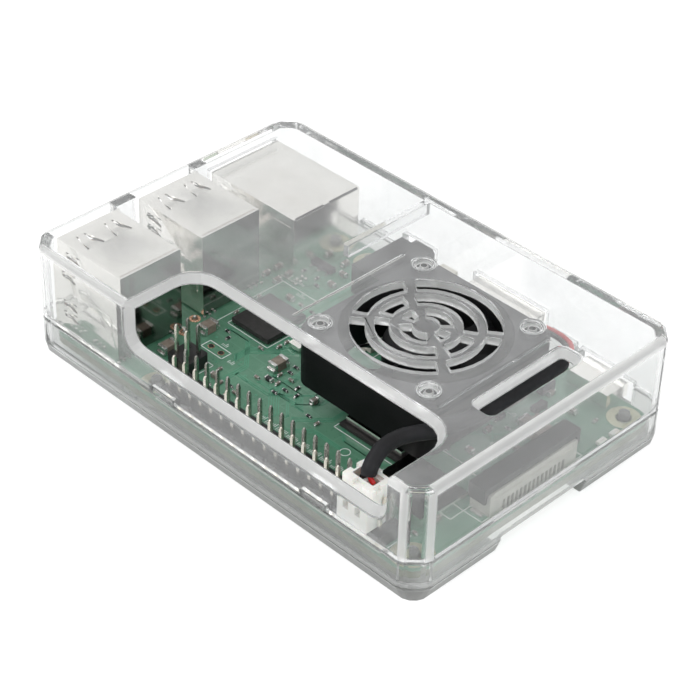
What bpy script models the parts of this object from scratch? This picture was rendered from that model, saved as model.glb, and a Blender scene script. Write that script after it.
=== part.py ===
"""Single board computer in a clear two-piece case, with a 30 mm fan under the lid.

Lengths below are in millimetres and become metres when a mesh is made. The origin is the centre
of the case underside, +X points to the memory-card end, -Y to the pin-header side and +Z up.
"""

import math

import bmesh
import bpy
from mathutils import Vector

MM = 0.001
GAP = 0.3

# Case
CASE_LENGTH = 91.4
CASE_WIDTH = 60.6
CASE_HEIGHT = 22.2
PARTING_Z = 7.7
WALL = 1.8
LID_TOP = 1.6
LID_ROUND = 1.0
BASE_FLOOR = 1.4
CORNER_CUT = 3.2
CORNER_ROUND = 0.6
FOOT_CORNER_CUT = 2.2
BASE_BEVEL = 0.9
BASE_BEVEL_HEIGHT = 2.5

# Board
BOARD_LENGTH = 85.0
BOARD_WIDTH = 56.0
BOARD_THICKNESS = 1.4
BOARD_TOP = 4.7
BOARD_CENTRE_X = 0.64
BOARD_CORNER = 3.0
PITCH = 2.54
PIN = 0.64
PIN_TOP = BOARD_TOP + 8.5
HEADER_TOP = BOARD_TOP + 2.54
HOLES = [(3.5, 3.5), (61.5, 3.5), (3.5, 52.5), (61.5, 52.5)]

# Fan
FAN_X = 16.7
FAN_Y = 1.5
FAN_SIZE = 30.0
FAN_DEPTH = 10.0
FAN_HOLE_PITCH = 24.0
FAN_HOLE = 3.2
FAN_BORE = 27.6
HUB = 14.0
BLADES = 7
BLADE_CHORD = 7.6
BLADE_THICKNESS = 0.9
BLADE_TILT = math.radians(42)
BLADE_TIP = 13.0
LID_INSIDE = CASE_HEIGHT - LID_TOP
FAN_TOP = LID_INSIDE - GAP
FAN_BOTTOM = FAN_TOP - FAN_DEPTH

# Lid openings
PIN_WINDOW_LEFT = -20.9
PIN_WINDOW_RIGHT = 39.2
PIN_WINDOW_BACK = -14.1
PIN_WINDOW_SILL = 12.9
WINDOW_BEVEL = 1.4
LEAD_SLOT = (37.45, 2.4)
LEAD_SLOT_SIZE = (5.0, 22.0)
LEAD_SLOT_BEVEL = 1.2

# Fan lead and plug
WIRE_RADIUS = 0.42
WIRE_SPREAD = 0.47
SLEEVE_OUTER = 1.3
SLEEVE_INNER = 1.1
PLUG_X = 30.96
PLUG_Y = -25.77
PLUG_TOP = 15.1


def board_x(distance):
    """Case X of a point this far from the card end of the board."""
    return BOARD_CENTRE_X + BOARD_LENGTH / 2 - distance


def board_y(distance):
    """Case Y of a point this far from the board edge that holds the display socket."""
    return BOARD_WIDTH / 2 - distance


for existing in list(bpy.data.objects):
    bpy.data.objects.remove(existing, do_unlink=True)


def make_material(name, colour, roughness, metallic=0.0, alpha=1.0):
    material = bpy.data.materials.new(name)
    material.use_nodes = True
    shader = material.node_tree.nodes["Principled BSDF"]
    shader.inputs["Base Color"].default_value = (*colour, 1.0)
    shader.inputs["Roughness"].default_value = roughness
    shader.inputs["Metallic"].default_value = metallic
    shader.inputs["Alpha"].default_value = alpha
    return material


CLEAR = make_material("clear_plastic", (0.86, 0.88, 0.89), 0.12, alpha=0.35)
GREEN = make_material("board_green", (0.03, 0.24, 0.13), 0.4)
BLACK = make_material("black_plastic", (0.02, 0.02, 0.022), 0.5)
CHIP = make_material("chip_black", (0.03, 0.03, 0.035), 0.6)
STEEL = make_material("tinned_steel", (0.72, 0.7, 0.66), 0.3, 1.0)
WHITE = make_material("white_nylon", (0.85, 0.84, 0.8), 0.5)
RED = make_material("red_wire", (0.6, 0.03, 0.03), 0.45)
TAN = make_material("ceramic_tan", (0.35, 0.22, 0.15), 0.5)
GREY = make_material("ferrite_grey", (0.2, 0.2, 0.21), 0.6)
GOLD = make_material("contact_gold", (0.8, 0.6, 0.25), 0.3, 1.0)


def finish(mesh, name, material):
    """Turns a bmesh in millimetres into an object in metres, faces outward, rounds smooth."""
    bmesh.ops.recalc_face_normals(mesh, faces=mesh.faces)
    bmesh.ops.scale(mesh, vec=(MM, MM, MM), verts=mesh.verts)
    data = bpy.data.meshes.new(name)
    mesh.to_mesh(data)
    mesh.free()
    thing = bpy.data.objects.new(name, data)
    bpy.context.scene.collection.objects.link(thing)
    if material:
        data.materials.append(material)
        data.shade_smooth()
        data.set_sharp_from_angle(angle=math.radians(32))
    return thing


def add_loops(mesh, loops):
    """Joins closed loops of equal length into a capped solid inside the bmesh."""
    rings = [[mesh.verts.new(point) for point in loop] for loop in loops]
    count = len(rings[0])
    mesh.faces.new(list(reversed(rings[0])))
    mesh.faces.new(rings[-1])
    for lower, upper in zip(rings, rings[1:]):
        for index in range(count):
            after = (index + 1) % count
            mesh.faces.new((lower[index], lower[after], upper[after], upper[index]))


def solid(name, loops, material=None):
    mesh = bmesh.new()
    add_loops(mesh, loops)
    return finish(mesh, name, material)


def prism(name, outline, low, high, material=None):
    loops = [[(x, y, z) for x, y in outline] for z in (low, high)]
    return solid(name, loops, material)


def box_outline(x0, x1, y0, y1):
    return [(x0, y0), (x1, y0), (x1, y1), (x0, y1)]


def box(name, x, y, z, material=None):
    """A box from three (low, high) pairs."""
    return prism(name, box_outline(*x, *y), *z, material)


def circle(x, y, radius, sides):
    turn = 2 * math.pi / sides
    return [(x + radius * math.cos(turn * (i + 0.5)), y + radius * math.sin(turn * (i + 0.5)))
            for i in range(sides)]


def rounded(x0, x1, y0, y1, radius, steps=4):
    """Outline of a rectangle with rounded corners."""
    points = []
    centres = [(x1 - radius, y1 - radius, 0), (x0 + radius, y1 - radius, 90),
               (x0 + radius, y0 + radius, 180), (x1 - radius, y0 + radius, 270)]
    for cx, cy, start in centres:
        for step in range(steps + 1):
            angle = math.radians(start + 90 * step / steps)
            points.append((cx + radius * math.cos(angle), cy + radius * math.sin(angle)))
    return points


def case_outline(inset, corner_cut):
    """Case plan with its cut corners, drawn in by the inset."""
    hx = CASE_LENGTH / 2 - inset
    hy = CASE_WIDTH / 2 - inset
    cut = corner_cut - inset * (2 - math.sqrt(2))
    soft = CORNER_ROUND
    slant = soft / math.sqrt(2)
    corner = [(hx, hy - cut - soft), (hx - slant, hy - cut + slant),
              (hx - cut + slant, hy - slant), (hx - cut - soft, hy)]
    mirrored = [(-x, y) for x, y in reversed(corner)]
    return corner + mirrored + [(-x, -y) for x, y in corner] + [(x, -y) for x, y in reversed(corner)]


def case_loop(inset, z, corner_cut=CORNER_CUT):
    return [(x, y, z) for x, y in case_outline(inset, corner_cut)]


def combine(target, other, operation):
    modifier = target.modifiers.new(operation.title(), "BOOLEAN")
    modifier.operation = operation
    modifier.solver = "EXACT"
    modifier.object = other
    other.hide_render = True
    other.display_type = "WIRE"


def merged_tool(name, tools):
    """One helper object holding several separate closed helper shapes."""
    mesh = bmesh.new()
    for tool in tools:
        mesh.from_mesh(tool.data)
        bpy.data.objects.remove(tool, do_unlink=True)
    data = bpy.data.meshes.new(name)
    mesh.to_mesh(data)
    mesh.free()
    thing = bpy.data.objects.new(name, data)
    bpy.context.scene.collection.objects.link(thing)
    return thing


def cut(target, tools):
    combine(target, merged_tool(f"cut_{target.name}", tools), "DIFFERENCE")


def add(target, tools):
    combine(target, merged_tool(f"add_{target.name}", tools), "UNION")


def resharpen(thing):
    """Applies the Booleans and shades the result, so that its rounds are smooth and edges sharp."""
    graph = bpy.context.evaluated_depsgraph_get()
    data = bpy.data.meshes.new_from_object(thing.evaluated_get(graph))
    for modifier in list(thing.modifiers):
        helper = modifier.object
        thing.modifiers.remove(modifier)
        bpy.data.objects.remove(helper, do_unlink=True)
    thing.data = data
    mesh = bmesh.new()
    mesh.from_mesh(data)
    bmesh.ops.remove_doubles(mesh, verts=mesh.verts, dist=2e-6)
    bmesh.ops.dissolve_degenerate(mesh, edges=mesh.edges, dist=2e-6)
    mesh.to_mesh(data)
    mesh.free()
    data.shade_smooth()
    data.set_sharp_from_angle(angle=math.radians(32))


# ---------------------------------------------------------------- ports shared by base and lid

USB_ROWS = [47.0, 29.0]
USB_WIDTH = 13.1
USB_FACE = 86.4
USB_LENGTH = 16.3
USB_TOP = BOARD_TOP + 15.6
ETHERNET_ROW = 10.25
ETHERNET_WIDTH = 16.0
ETHERNET_FACE = 87.1
ETHERNET_LENGTH = 21.3
ETHERNET_TOP = BOARD_TOP + 13.5
LATCHES = [(-1, -11.5), (-1, 23.7), (1, -22.0), (1, 23.4)]
LATCH_WIDTH = 5.0
LATCH_HEIGHT = 1.0
CARD_NOTCH = (-10.8, 9.2)

end_ports = [(board_y(row), USB_WIDTH, USB_TOP) for row in USB_ROWS]
end_ports.append((board_y(ETHERNET_ROW), ETHERNET_WIDTH, ETHERNET_TOP))
# Side ports: centre X, opening width and opening top.
side_ports = [(board_x(10.6), 10.6, BOARD_TOP + 4.0),
              (board_x(32.0), 16.6, BOARD_TOP + 7.2),
              (board_x(53.5), 7.8, BOARD_TOP + 6.7)]
base_rim = PARTING_Z - GAP / 2
lid_rim = PARTING_Z + GAP / 2


def port_cutters(low, rim):
    """Wall cutters for the port openings, from low up to each port top or up to the rim."""
    tools = []
    outside = CASE_LENGTH / 2 + 1
    for y, width, top in end_ports:
        high = rim if rim else top + GAP
        half = width / 2 + GAP
        tools.append(box("port", (-outside, -outside + WALL + 2), (y - half, y + half), (low, high)))
    outside = CASE_WIDTH / 2 + 1
    for x, width, top in side_ports:
        high = rim if rim else top
        depth = (outside - WALL - 2, outside)
        tools.append(box("port", (x - width / 2, x + width / 2), depth, (low, high)))
    return tools


# ---------------------------------------------------------------- case base

base_loops = [case_loop(BASE_BEVEL, 0, FOOT_CORNER_CUT), case_loop(0, BASE_BEVEL_HEIGHT), case_loop(0, base_rim)]
base = solid("case_base", base_loops, CLEAR)
tools = [solid("hollow", [case_loop(WALL + 0.5, BASE_FLOOR), case_loop(WALL, BASE_BEVEL_HEIGHT + 0.5),
                          case_loop(WALL, base_rim + 1)])]
tools += port_cutters(BOARD_TOP - BOARD_THICKNESS - 0.2, base_rim + 1)
card_z = (-1, BOARD_TOP - BOARD_THICKNESS - 0.1)
tools.append(box("card", (38.4, CASE_LENGTH / 2 + 1), CARD_NOTCH, card_z))
for tool in tools:
    combine(base, tool, "DIFFERENCE")
tools = []
for x, y in HOLES:
    post = circle(board_x(x), board_y(y), 2.6, 16)
    peg = circle(board_x(x), board_y(y), 1.0, 12)
    tools.append(prism("post", post, BASE_FLOOR - 0.5, BOARD_TOP - BOARD_THICKNESS - GAP))
    tools.append(prism("peg", peg, BASE_FLOOR - 0.4, BOARD_TOP + 1.2))
for side, x in LATCHES:
    face = side * (CASE_WIDTH / 2 - 0.15)
    depth = sorted((face, face - side * 1.2))
    tools.append(box("tongue", (x - LATCH_WIDTH / 2, x + LATCH_WIDTH / 2), depth,
                     (base_rim - 1, PARTING_Z + LATCH_HEIGHT)))
for tool in tools:
    combine(base, tool, "UNION")
resharpen(base)

# ---------------------------------------------------------------- case lid

lid_loops = [case_loop(0, lid_rim)]
for step in range(5):
    turn = math.radians(22.5 * step)
    drop = LID_ROUND * (1 - math.sin(turn))
    lid_loops.append(case_loop(LID_ROUND * (1 - math.cos(turn)), CASE_HEIGHT - drop))
lid = solid("case_lid", lid_loops, CLEAR)
tools = [solid("hollow", [case_loop(WALL, lid_rim - 1), case_loop(WALL, LID_INSIDE)])]
tools += port_cutters(lid_rim - 1, None)
for side, x in LATCHES:
    face = side * (CASE_WIDTH / 2 + 1)
    depth = sorted((face, face - side * 4))
    tools.append(box("latch", (x - LATCH_WIDTH / 2 - GAP, x + LATCH_WIDTH / 2 + GAP), depth,
                     (lid_rim - 1, PARTING_Z + LATCH_HEIGHT + GAP)))
for tool in tools:
    combine(lid, tool, "DIFFERENCE")


def window_loop(spread, radius, height):
    """Pin window seen from above; spread moves its three edges outward."""
    return [(x, y, height) for x, y in rounded(PIN_WINDOW_LEFT - spread, PIN_WINDOW_RIGHT + spread,
                                               -CASE_WIDTH / 2 - 6, PIN_WINDOW_BACK + spread, radius, 5)]


def front_window_loop(spread, radius, depth):
    """Pin window seen from the front."""
    return [(x, depth, z) for x, z in rounded(PIN_WINDOW_LEFT - spread, PIN_WINDOW_RIGHT + spread,
                                              PIN_WINDOW_SILL - spread, LID_INSIDE + 8, radius, 5)]


slope = WINDOW_BEVEL / LID_TOP
over = 0.6  # how far each window cutter reaches past the plate
top_window = solid("top_window", [window_loop(-WINDOW_BEVEL - slope * over, 4.2, LID_INSIDE - over),
                                  window_loop(slope * over, 6.2, CASE_HEIGHT + over)])
front_slope = WINDOW_BEVEL / WALL
outer_y = -CASE_WIDTH / 2
front_window = solid("front_window", [
    front_window_loop(front_slope * over, 3.8, outer_y - over),
    front_window_loop(-WINDOW_BEVEL - front_slope * over, 2.2, outer_y + WALL + over)])
combine(lid, top_window, "DIFFERENCE")
combine(lid, front_window, "DIFFERENCE")


def slot_loop(spread, height):
    x, y = LEAD_SLOT
    half_x = LEAD_SLOT_SIZE[0] / 2 + spread
    half_y = LEAD_SLOT_SIZE[1] / 2 + spread
    return [(px, py, height) for px, py in rounded(x - half_x, x + half_x, y - half_y, y + half_y,
                                                   half_x * 0.55, 4)]


slope = LEAD_SLOT_BEVEL / LID_TOP
combine(lid, solid("lead_slot", [slot_loop(-LEAD_SLOT_BEVEL - slope * over, LID_INSIDE - over),
                                 slot_loop(slope * over, CASE_HEIGHT + over)]), "DIFFERENCE")


def ring_slot(inner, outer, start, end, steps):
    """Plan of a curved vent slot between two radii and two angles in degrees."""
    def arc(radius, first, last):
        return [(FAN_X + radius * math.cos(math.radians(first + (last - first) * i / steps)),
                 FAN_Y + radius * math.sin(math.radians(first + (last - first) * i / steps)))
                for i in range(steps + 1)]
    return arc(outer, start, end) + arc(inner, end, start)


# Vent rings: inner and outer radius, angle of the four spokes, half the spoke angle, and arc steps.
VENT_RINGS = [(9.85, 12.4, 33.0, 4.6, 12), (6.0, 8.35, 26.0, 7.0, 10), (2.3, 4.4, 30.0, 15.0, 8)]
tools = []
for inner, outer, spoke, half, steps in VENT_RINGS:
    for middle in (0, 180):
        short = spoke - half
        plan = ring_slot(inner, outer, middle - short, middle + short, max(3, steps // 2))
        tools.append(prism("vent", plan, LID_INSIDE - 1, CASE_HEIGHT + 1))
    for middle in (90, 270):
        wide = 90 - spoke - half
        plan = ring_slot(inner, outer, middle - wide, middle + wide, steps)
        tools.append(prism("vent", plan, LID_INSIDE - 1, CASE_HEIGHT + 1))
corner_x = [FAN_X - FAN_HOLE_PITCH / 2, FAN_X + FAN_HOLE_PITCH / 2]
corner_y = [FAN_Y - FAN_HOLE_PITCH / 2, FAN_Y + FAN_HOLE_PITCH / 2]
fan_corners = [(x, y) for x in corner_x for y in corner_y]
for x in (FAN_X - 16.15, FAN_X + 16.15):
    tools.append(box("line", (x - 0.15, x + 0.15), (-12.6, 13.0), (CASE_HEIGHT - 0.25, CASE_HEIGHT + 1)))
for tool in tools:
    combine(lid, tool, "DIFFERENCE")
for x, y in fan_corners:
    peg = circle(x, y, FAN_HOLE / 2 - GAP, 14)
    combine(lid, prism("peg", peg, LID_INSIDE - 8, LID_INSIDE + 0.5), "UNION")
rib_y = (8.6, CASE_WIDTH / 2 - WALL / 2)
combine(lid, box("rib", (-9.4, -8.2), rib_y, (LID_INSIDE - 2.4, LID_INSIDE + 0.5)), "UNION")
# Round the top of each peg: radius, depth of the bottom and of the top below the plate, and what is done.
PEG_RINGS = [(2.1, 0.25, -1.0, "DIFFERENCE"), (1.8, 0.9, 0.0, "UNION"), (1.5, 0.8, -1.0, "DIFFERENCE"),
             (0.75, 1.0, 0.3, "UNION")]
for x, y in fan_corners:
    for radius, bottom, top, operation in PEG_RINGS:
        ring = prism("ring", circle(x, y, radius, 18), CASE_HEIGHT - bottom, CASE_HEIGHT - top)
        combine(lid, ring, operation)
resharpen(lid)

# ---------------------------------------------------------------- circuit board

half_x = BOARD_LENGTH / 2
half_y = BOARD_WIDTH / 2
board = prism("circuit_board", rounded(BOARD_CENTRE_X - half_x, BOARD_CENTRE_X + half_x, -half_y, half_y,
                                       BOARD_CORNER), BOARD_TOP - BOARD_THICKNESS, BOARD_TOP, GREEN)
cut(board, [prism("hole", circle(board_x(x), board_y(y), 1.375, 16), 0, 10) for x, y in HOLES])
resharpen(board)

FLOOR = BOARD_TOP + GAP
UNDER = BOARD_TOP - BOARD_THICKNESS - GAP


def on_board(name, x, y, size_x, size_y, height, material, low=FLOOR):
    """A box part centred at board distances x, y from the card corner, its height above the board."""
    cx = board_x(x)
    cy = board_y(y)
    return box(name, (cx - size_x / 2, cx + size_x / 2), (cy - size_y / 2, cy + size_y / 2),
               (low, BOARD_TOP + height), material)


def pin_header(name, x, y, columns, rows, material):
    """A pin header as one body: a plastic strip with square pins standing on it."""
    strip = on_board(name, x, y, columns * PITCH, rows * PITCH, HEADER_TOP - BOARD_TOP, material)
    pins = []
    for column in range(columns):
        for row in range(rows):
            px = board_x(x) + (column - (columns - 1) / 2) * PITCH
            py = board_y(y) + (row - (rows - 1) / 2) * PITCH
            side = PIN / 2
            plan = box_outline(px - side, px + side, py - side, py + side)
            pins.append(prism("pin", plan, FLOOR + 0.5, PIN_TOP))
    add(strip, pins)
    resharpen(strip)
    return strip


pin_header("gpio_header", 32.5, 52.5, 20, 2, BLACK)
pin_header("poe_header", 61.6, 46.6, 2, 2, BLACK)

# ---------------------------------------------------------------- USB and Ethernet sockets

usb_face = board_x(USB_FACE)
for label, row in zip(("outer", "middle"), USB_ROWS):
    y = board_y(row)
    sides = (y - USB_WIDTH / 2, y + USB_WIDTH / 2)
    shell = box(f"usb_{label}_shell", (usb_face, usb_face + USB_LENGTH), sides, (FLOOR, USB_TOP), STEEL)
    half = USB_WIDTH / 2 - 0.55
    levels = {"lower": (FLOOR + 1.1, FLOOR + 6.3), "upper": (FLOOR + 9.0, USB_TOP - 0.5)}
    cut(shell, [box("mouth", (usb_face - 1, usb_face + 12.5), (y - half, y + half), levels[level])
                for level in levels])
    resharpen(shell)
    for level, (low, high) in levels.items():
        box(f"usb_{label}_{level}_tongue", (usb_face + 2.2, usb_face + 12.5 - GAP), (y - 5.6, y + 5.6),
            ((low + high) / 2 + 0.1, (low + high) / 2 + 1.9), WHITE)

jack_face = board_x(ETHERNET_FACE)
y = board_y(ETHERNET_ROW)
jack = box("ethernet_shell", (jack_face, jack_face + ETHERNET_LENGTH),
           (y - ETHERNET_WIDTH / 2, y + ETHERNET_WIDTH / 2), (FLOOR, ETHERNET_TOP), STEEL)
mouth = box("mouth", (jack_face - 1, jack_face + 13), (y - 5.9, y + 5.9), (FLOOR + 3.6, FLOOR + 11.0))
catch = box("catch", (jack_face - 1, jack_face + 9), (y - 3.1, y + 3.1), (FLOOR + 1.2, FLOOR + 3.7))
combine(jack, mouth, "DIFFERENCE")
combine(jack, catch, "DIFFERENCE")
resharpen(jack)
comb_top = FLOOR + 11.0 - GAP
comb_profile = [(4.0, comb_top - 0.6), (13 - GAP, comb_top - 4.2), (13 - GAP, comb_top), (4.0, comb_top)]
solid("ethernet_contact_comb", [[(jack_face + x, y + side * 5.2, z) for x, z in comb_profile]
                                for side in (-1, 1)], BLACK)

# ---------------------------------------------------------------- sockets on the long side

def side_socket(name, x, width, length, height, mouth_width, mouth_height, face, depth, material):
    """A socket that opens toward +Y; its mouth is centred in its height."""
    cx = board_x(x)
    top = BOARD_TOP + height
    middle = (FLOOR + top) / 2
    shell = box(name, (cx - width / 2, cx + width / 2), (face - length, face), (FLOOR, top), material)
    cut(shell, [box("mouth", (cx - mouth_width / 2, cx + mouth_width / 2), (face - depth, face + 1),
                    (middle - mouth_height / 2, middle + mouth_height / 2))])
    resharpen(shell)
    return middle


HDMI_FACE = 29.4
middle = side_socket("hdmi_shell", 32.0, 15.0, 11.5, 6.2, 14.0, 4.5, HDMI_FACE, 9.0, STEEL)
cx = board_x(32.0)
tongue_y = (HDMI_FACE - 9.0 + GAP, HDMI_FACE - 1.2)
box("hdmi_tongue", (cx - 5.7, cx + 5.7), tongue_y, (middle - 0.7, middle + 0.6), BLACK)
MICRO_FACE = 29.2
middle = side_socket("power_socket_shell", 10.6, 7.6, 5.4, 2.9, 6.8, 1.9, MICRO_FACE, 4.6, STEEL)
cx = board_x(10.6)
box("power_socket_tongue", (cx - 1.8, cx + 1.8), (MICRO_FACE - 4.6 + GAP, MICRO_FACE - 0.8),
    (middle - 0.35, middle + 0.25), BLACK)

cx = board_x(53.5)
AUDIO_Z = FLOOR + 2.95
AUDIO_FACE = 27.9
audio_y = (AUDIO_FACE - 12.5, AUDIO_FACE)
audio = box("audio_jack", (cx - 3.5, cx + 3.5), audio_y, (FLOOR, FLOOR + 5.9), BLACK)


def barrel(name, radius, start, end, sides):
    """A cylinder along Y on the audio jack axis."""
    plan = circle(cx, AUDIO_Z, radius, sides)
    return solid(name, [[(x, depth, z) for x, z in plan] for depth in (start, end)])


combine(audio, barrel("collar", 2.9, AUDIO_FACE - 1, AUDIO_FACE + 2.2, 20), "UNION")
combine(audio, barrel("bore", 1.8, AUDIO_FACE - 11, AUDIO_FACE + 3, 16), "DIFFERENCE")
resharpen(audio)

# ---------------------------------------------------------------- flat-cable connectors

def flat_cable_connector(name, x, y, latch_material):
    """An upright 15-way flat-cable connector and its lift-up latch, long along Y."""
    cx = board_x(x)
    cy = board_y(y)
    top = BOARD_TOP + 4.2
    body = box(f"{name}_connector", (cx - 2.1, cx + 2.1), (cy - 10.3, cy + 10.3), (FLOOR, top), WHITE)
    cut(body, [box("slot", (cx - 0.8, cx + 0.8), (cy - 8.6, cy + 8.6), (FLOOR + 1.2, BOARD_TOP + 6))])
    resharpen(body)
    axis = bpy.data.objects.new(f"{name}_latch_axis", None)
    axis.location = (cx * MM, cy * MM, (top + GAP) * MM)
    bpy.context.scene.collection.objects.link(axis)
    latch = box(f"{name}_latch", (-1.7, 1.7), (-11.3, 11.3), (0, 1.3), latch_material)
    combine(latch, box("blade", (-0.4, 0.4), (-8.2, 8.2), (-2.2, 0.5)), "UNION")
    for side in (-1, 1):
        arm = sorted((side * (10.3 + GAP), side * 11.3))
        combine(latch, box("arm", (-1.7, 1.7), arm, (-1.6, 0.5)), "UNION")
    resharpen(latch)
    latch.parent = axis


flat_cable_connector("display", 3.8, 28.0, BLACK)
flat_cable_connector("camera", 45.0, 11.5, WHITE)

# ---------------------------------------------------------------- chips and small parts

card_x = (board_x(15.0), board_x(1.6))
card = box("card_socket", card_x, (-7.0, 7.0), (BOARD_TOP - BOARD_THICKNESS - GAP - 1.3, UNDER), STEEL)
cut(card, [box("mouth", (card_x[0] + 1.0, card_x[1] + 1), (-5.7, 5.7),
               (BOARD_TOP - BOARD_THICKNESS - GAP - 1.1, UNDER - 0.2))])
resharpen(card)

on_board("processor_package", 25.5, 32.5, 14.0, 14.0, 0.9, CHIP)
on_board("processor_heat_spreader", 25.5, 32.5, 12.4, 12.4, 2.2, STEEL, BOARD_TOP + 0.9 + GAP)
on_board("usb_ethernet_chip", 61.0, 28.6, 9.0, 9.0, 1.2, CHIP)
on_board("wireless_shield", 12.6, 42.6, 11.6, 9.6, 1.9, STEEL)
on_board("power_chip", 20.0, 14.0, 5.0, 5.0, 1.1, CHIP)
on_board("power_inductor_1", 16.0, 8.6, 3.2, 3.2, 1.9, GREY)
on_board("power_inductor_2", 21.0, 8.6, 3.2, 3.2, 1.9, GREY)
on_board("clock_crystal", 52.5, 29.0, 2.6, 3.4, 1.1, STEEL)
on_board("input_capacitor", 8.4, 17.6, 4.4, 3.4, 2.1, TAN)
on_board("port_capacitor_1", 66.6, 37.7, 2.0, 3.2, 1.7, TAN)
on_board("port_capacitor_2", 67.0, 46.2, 2.0, 3.2, 1.7, TAN)
on_board("header_capacitor", 50.8, 36.0, 2.0, 3.2, 1.7, TAN)
on_board("power_light", 1.5, 8.4, 1.0, 1.8, 0.9, WHITE)
on_board("activity_light", 1.5, 11.6, 1.0, 1.8, 0.9, WHITE)
cx = board_x(25.5)
box("memory_chip", (cx - 5.2, cx + 5.2), (-10.4, 1.4), (UNDER - 0.9, UNDER), CHIP)

# ---------------------------------------------------------------- fan

half = FAN_SIZE / 2
frame = prism("fan_frame", rounded(FAN_X - half, FAN_X + half, FAN_Y - half, FAN_Y + half, 3.0),
              FAN_BOTTOM, FAN_TOP, BLACK)
tools = [prism("bore", circle(FAN_X, FAN_Y, FAN_BORE / 2, 40), FAN_BOTTOM - 1, FAN_TOP + 1)]
for x, y in fan_corners:
    tools.append(prism("hole", circle(x, y, FAN_HOLE / 2, 14), FAN_BOTTOM - 1, FAN_TOP + 1))
cut(frame, tools)
for angle in (45, 135, 225, 315):
    turn = math.radians(angle)
    along = Vector((math.cos(turn), math.sin(turn)))
    side = Vector((-along.y, along.x)) * 0.8
    centre = Vector((FAN_X, FAN_Y))
    ends = (centre + along * 4, centre + along * 14.3)
    outline = [ends[0] - side, ends[1] - side, ends[1] + side, ends[0] + side]
    combine(frame, prism("strut", outline, FAN_BOTTOM, FAN_BOTTOM + 1.2), "UNION")
plate = circle(FAN_X, FAN_Y, HUB / 2, 24)
combine(frame, prism("motor_plate", plate, FAN_BOTTOM, FAN_BOTTOM + 1.6), "UNION")
resharpen(frame)

rotor_low = FAN_BOTTOM + 1.6 + GAP
rotor_high = FAN_TOP - 0.8
spin_axis = bpy.data.objects.new("fan_spin_axis", None)
spin_axis.location = (FAN_X * MM, FAN_Y * MM, rotor_low * MM)
bpy.context.scene.collection.objects.link(spin_axis)
height = rotor_high - rotor_low
rotor = solid("fan_rotor", [[(x, y, z) for x, y in circle(0, 0, radius, 28)] for radius, z in
                            ((HUB / 2, 0), (HUB / 2, height - 0.7), (HUB / 2 - 0.7, height))], BLACK)


def blade(angle):
    """A flat blade tilted about its own length, from inside the hub to just short of the bore."""
    outline = []
    for across, up in ((-1, -1), (1, -1), (1, 1), (-1, 1)):
        half = across * BLADE_CHORD / 2
        thick = up * BLADE_THICKNESS / 2
        outline.append((half * math.cos(BLADE_TILT) - thick * math.sin(BLADE_TILT),
                        half * math.sin(BLADE_TILT) + thick * math.cos(BLADE_TILT)))
    spin = math.radians(angle)
    loops = []
    for radius in (HUB / 2 - 1.2, BLADE_TIP):
        loops.append([(radius * math.cos(spin) - across * math.sin(spin),
                       radius * math.sin(spin) + across * math.cos(spin), height / 2 + up)
                      for across, up in outline])
    return solid("blade", loops)


for index in range(BLADES):
    combine(rotor, blade(360 / BLADES * index + 3.0), "UNION")
resharpen(rotor)
rotor.parent = spin_axis

# ---------------------------------------------------------------- fan lead

# Lead centre line from the plug to the fan: X, Y, Z, and the angle of the two wires' spread.
LEAD_PATH = [
    (30.96, -25.77, 14.2, 0), (30.96, -25.6, 15.8, 0), (30.5, -24.0, 17.1, 12), (30.1, -21.6, 17.9, 5),
    (30.5, -18.6, 18.3, -10), (31.9, -15.6, 18.4, -27), (33.6, -12.6, 18.3, -27), (34.8, -9.0, 18.1, -12),
    (35.1, -4.0, 18.0, 0), (35.1, 4.0, 18.0, 0), (35.0, 12.0, 18.0, 2), (34.6, 15.0, 17.9, 15),
    (33.2, 17.6, 17.8, 45), (30.6, 18.6, 17.7, 80), (27.2, 18.8, 17.4, 96), (24.4, 18.5, 17.0, 120),
    (22.6, 17.7, 16.6, 150), (21.9, 17.25, 16.4, 160)]
SLEEVE_START = 16.2
SLEEVE_END_Y = 12.4


def smooth_path(points, steps):
    """Catmull-Rom samples through the points, which carry a fourth value along."""
    samples = []
    for index in range(len(points) - 1):
        before = Vector(points[max(index - 1, 0)])
        start = Vector(points[index])
        end = Vector(points[index + 1])
        after = Vector(points[min(index + 2, len(points) - 1)])
        for step in range(steps):
            t = step / steps
            square = 2 * before - 5 * start + 4 * end - after
            cube = 3 * start - 3 * end + after - before
            samples.append(0.5 * (2 * start + (end - before) * t + square * t * t + cube * t * t * t))
    samples.append(Vector(points[-1]))
    return samples


def tube_curve(name, points, radius, material):
    """A round cord through the points, with closed ends."""
    data = bpy.data.curves.new(name, "CURVE")
    data.dimensions = "3D"
    data.bevel_depth = radius * MM
    data.bevel_resolution = 2
    data.use_fill_caps = True
    spline = data.splines.new("POLY")
    spline.points.add(len(points) - 1)
    for target, point in zip(spline.points, points):
        target.co = (point[0] * MM, point[1] * MM, point[2] * MM, 1)
    data.materials.append(material)
    thing = bpy.data.objects.new(name, data)
    bpy.context.scene.collection.objects.link(thing)


lead = smooth_path(LEAD_PATH, 3)
for name, side, material in (("fan_wire_red", 1, RED), ("fan_wire_black", -1, BLACK)):
    line = []
    for sample in lead:
        spread = WIRE_SPREAD
        if sample[2] < SLEEVE_START and sample[1] < 0:
            spread += (PITCH / 2 - WIRE_SPREAD) * (SLEEVE_START - sample[2]) / (SLEEVE_START - 14.2)
        turn = math.radians(sample[3])
        shift = (side * spread * math.cos(turn), side * spread * math.sin(turn))
        line.append((sample[0] + shift[0], sample[1] + shift[1], sample[2]))
    tube_curve(name, line, WIRE_RADIUS, material)

covered = [sample for sample in lead if sample[2] > SLEEVE_START and sample[1] < SLEEVE_END_Y]
SLEEVE_SIDES = 10


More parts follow.
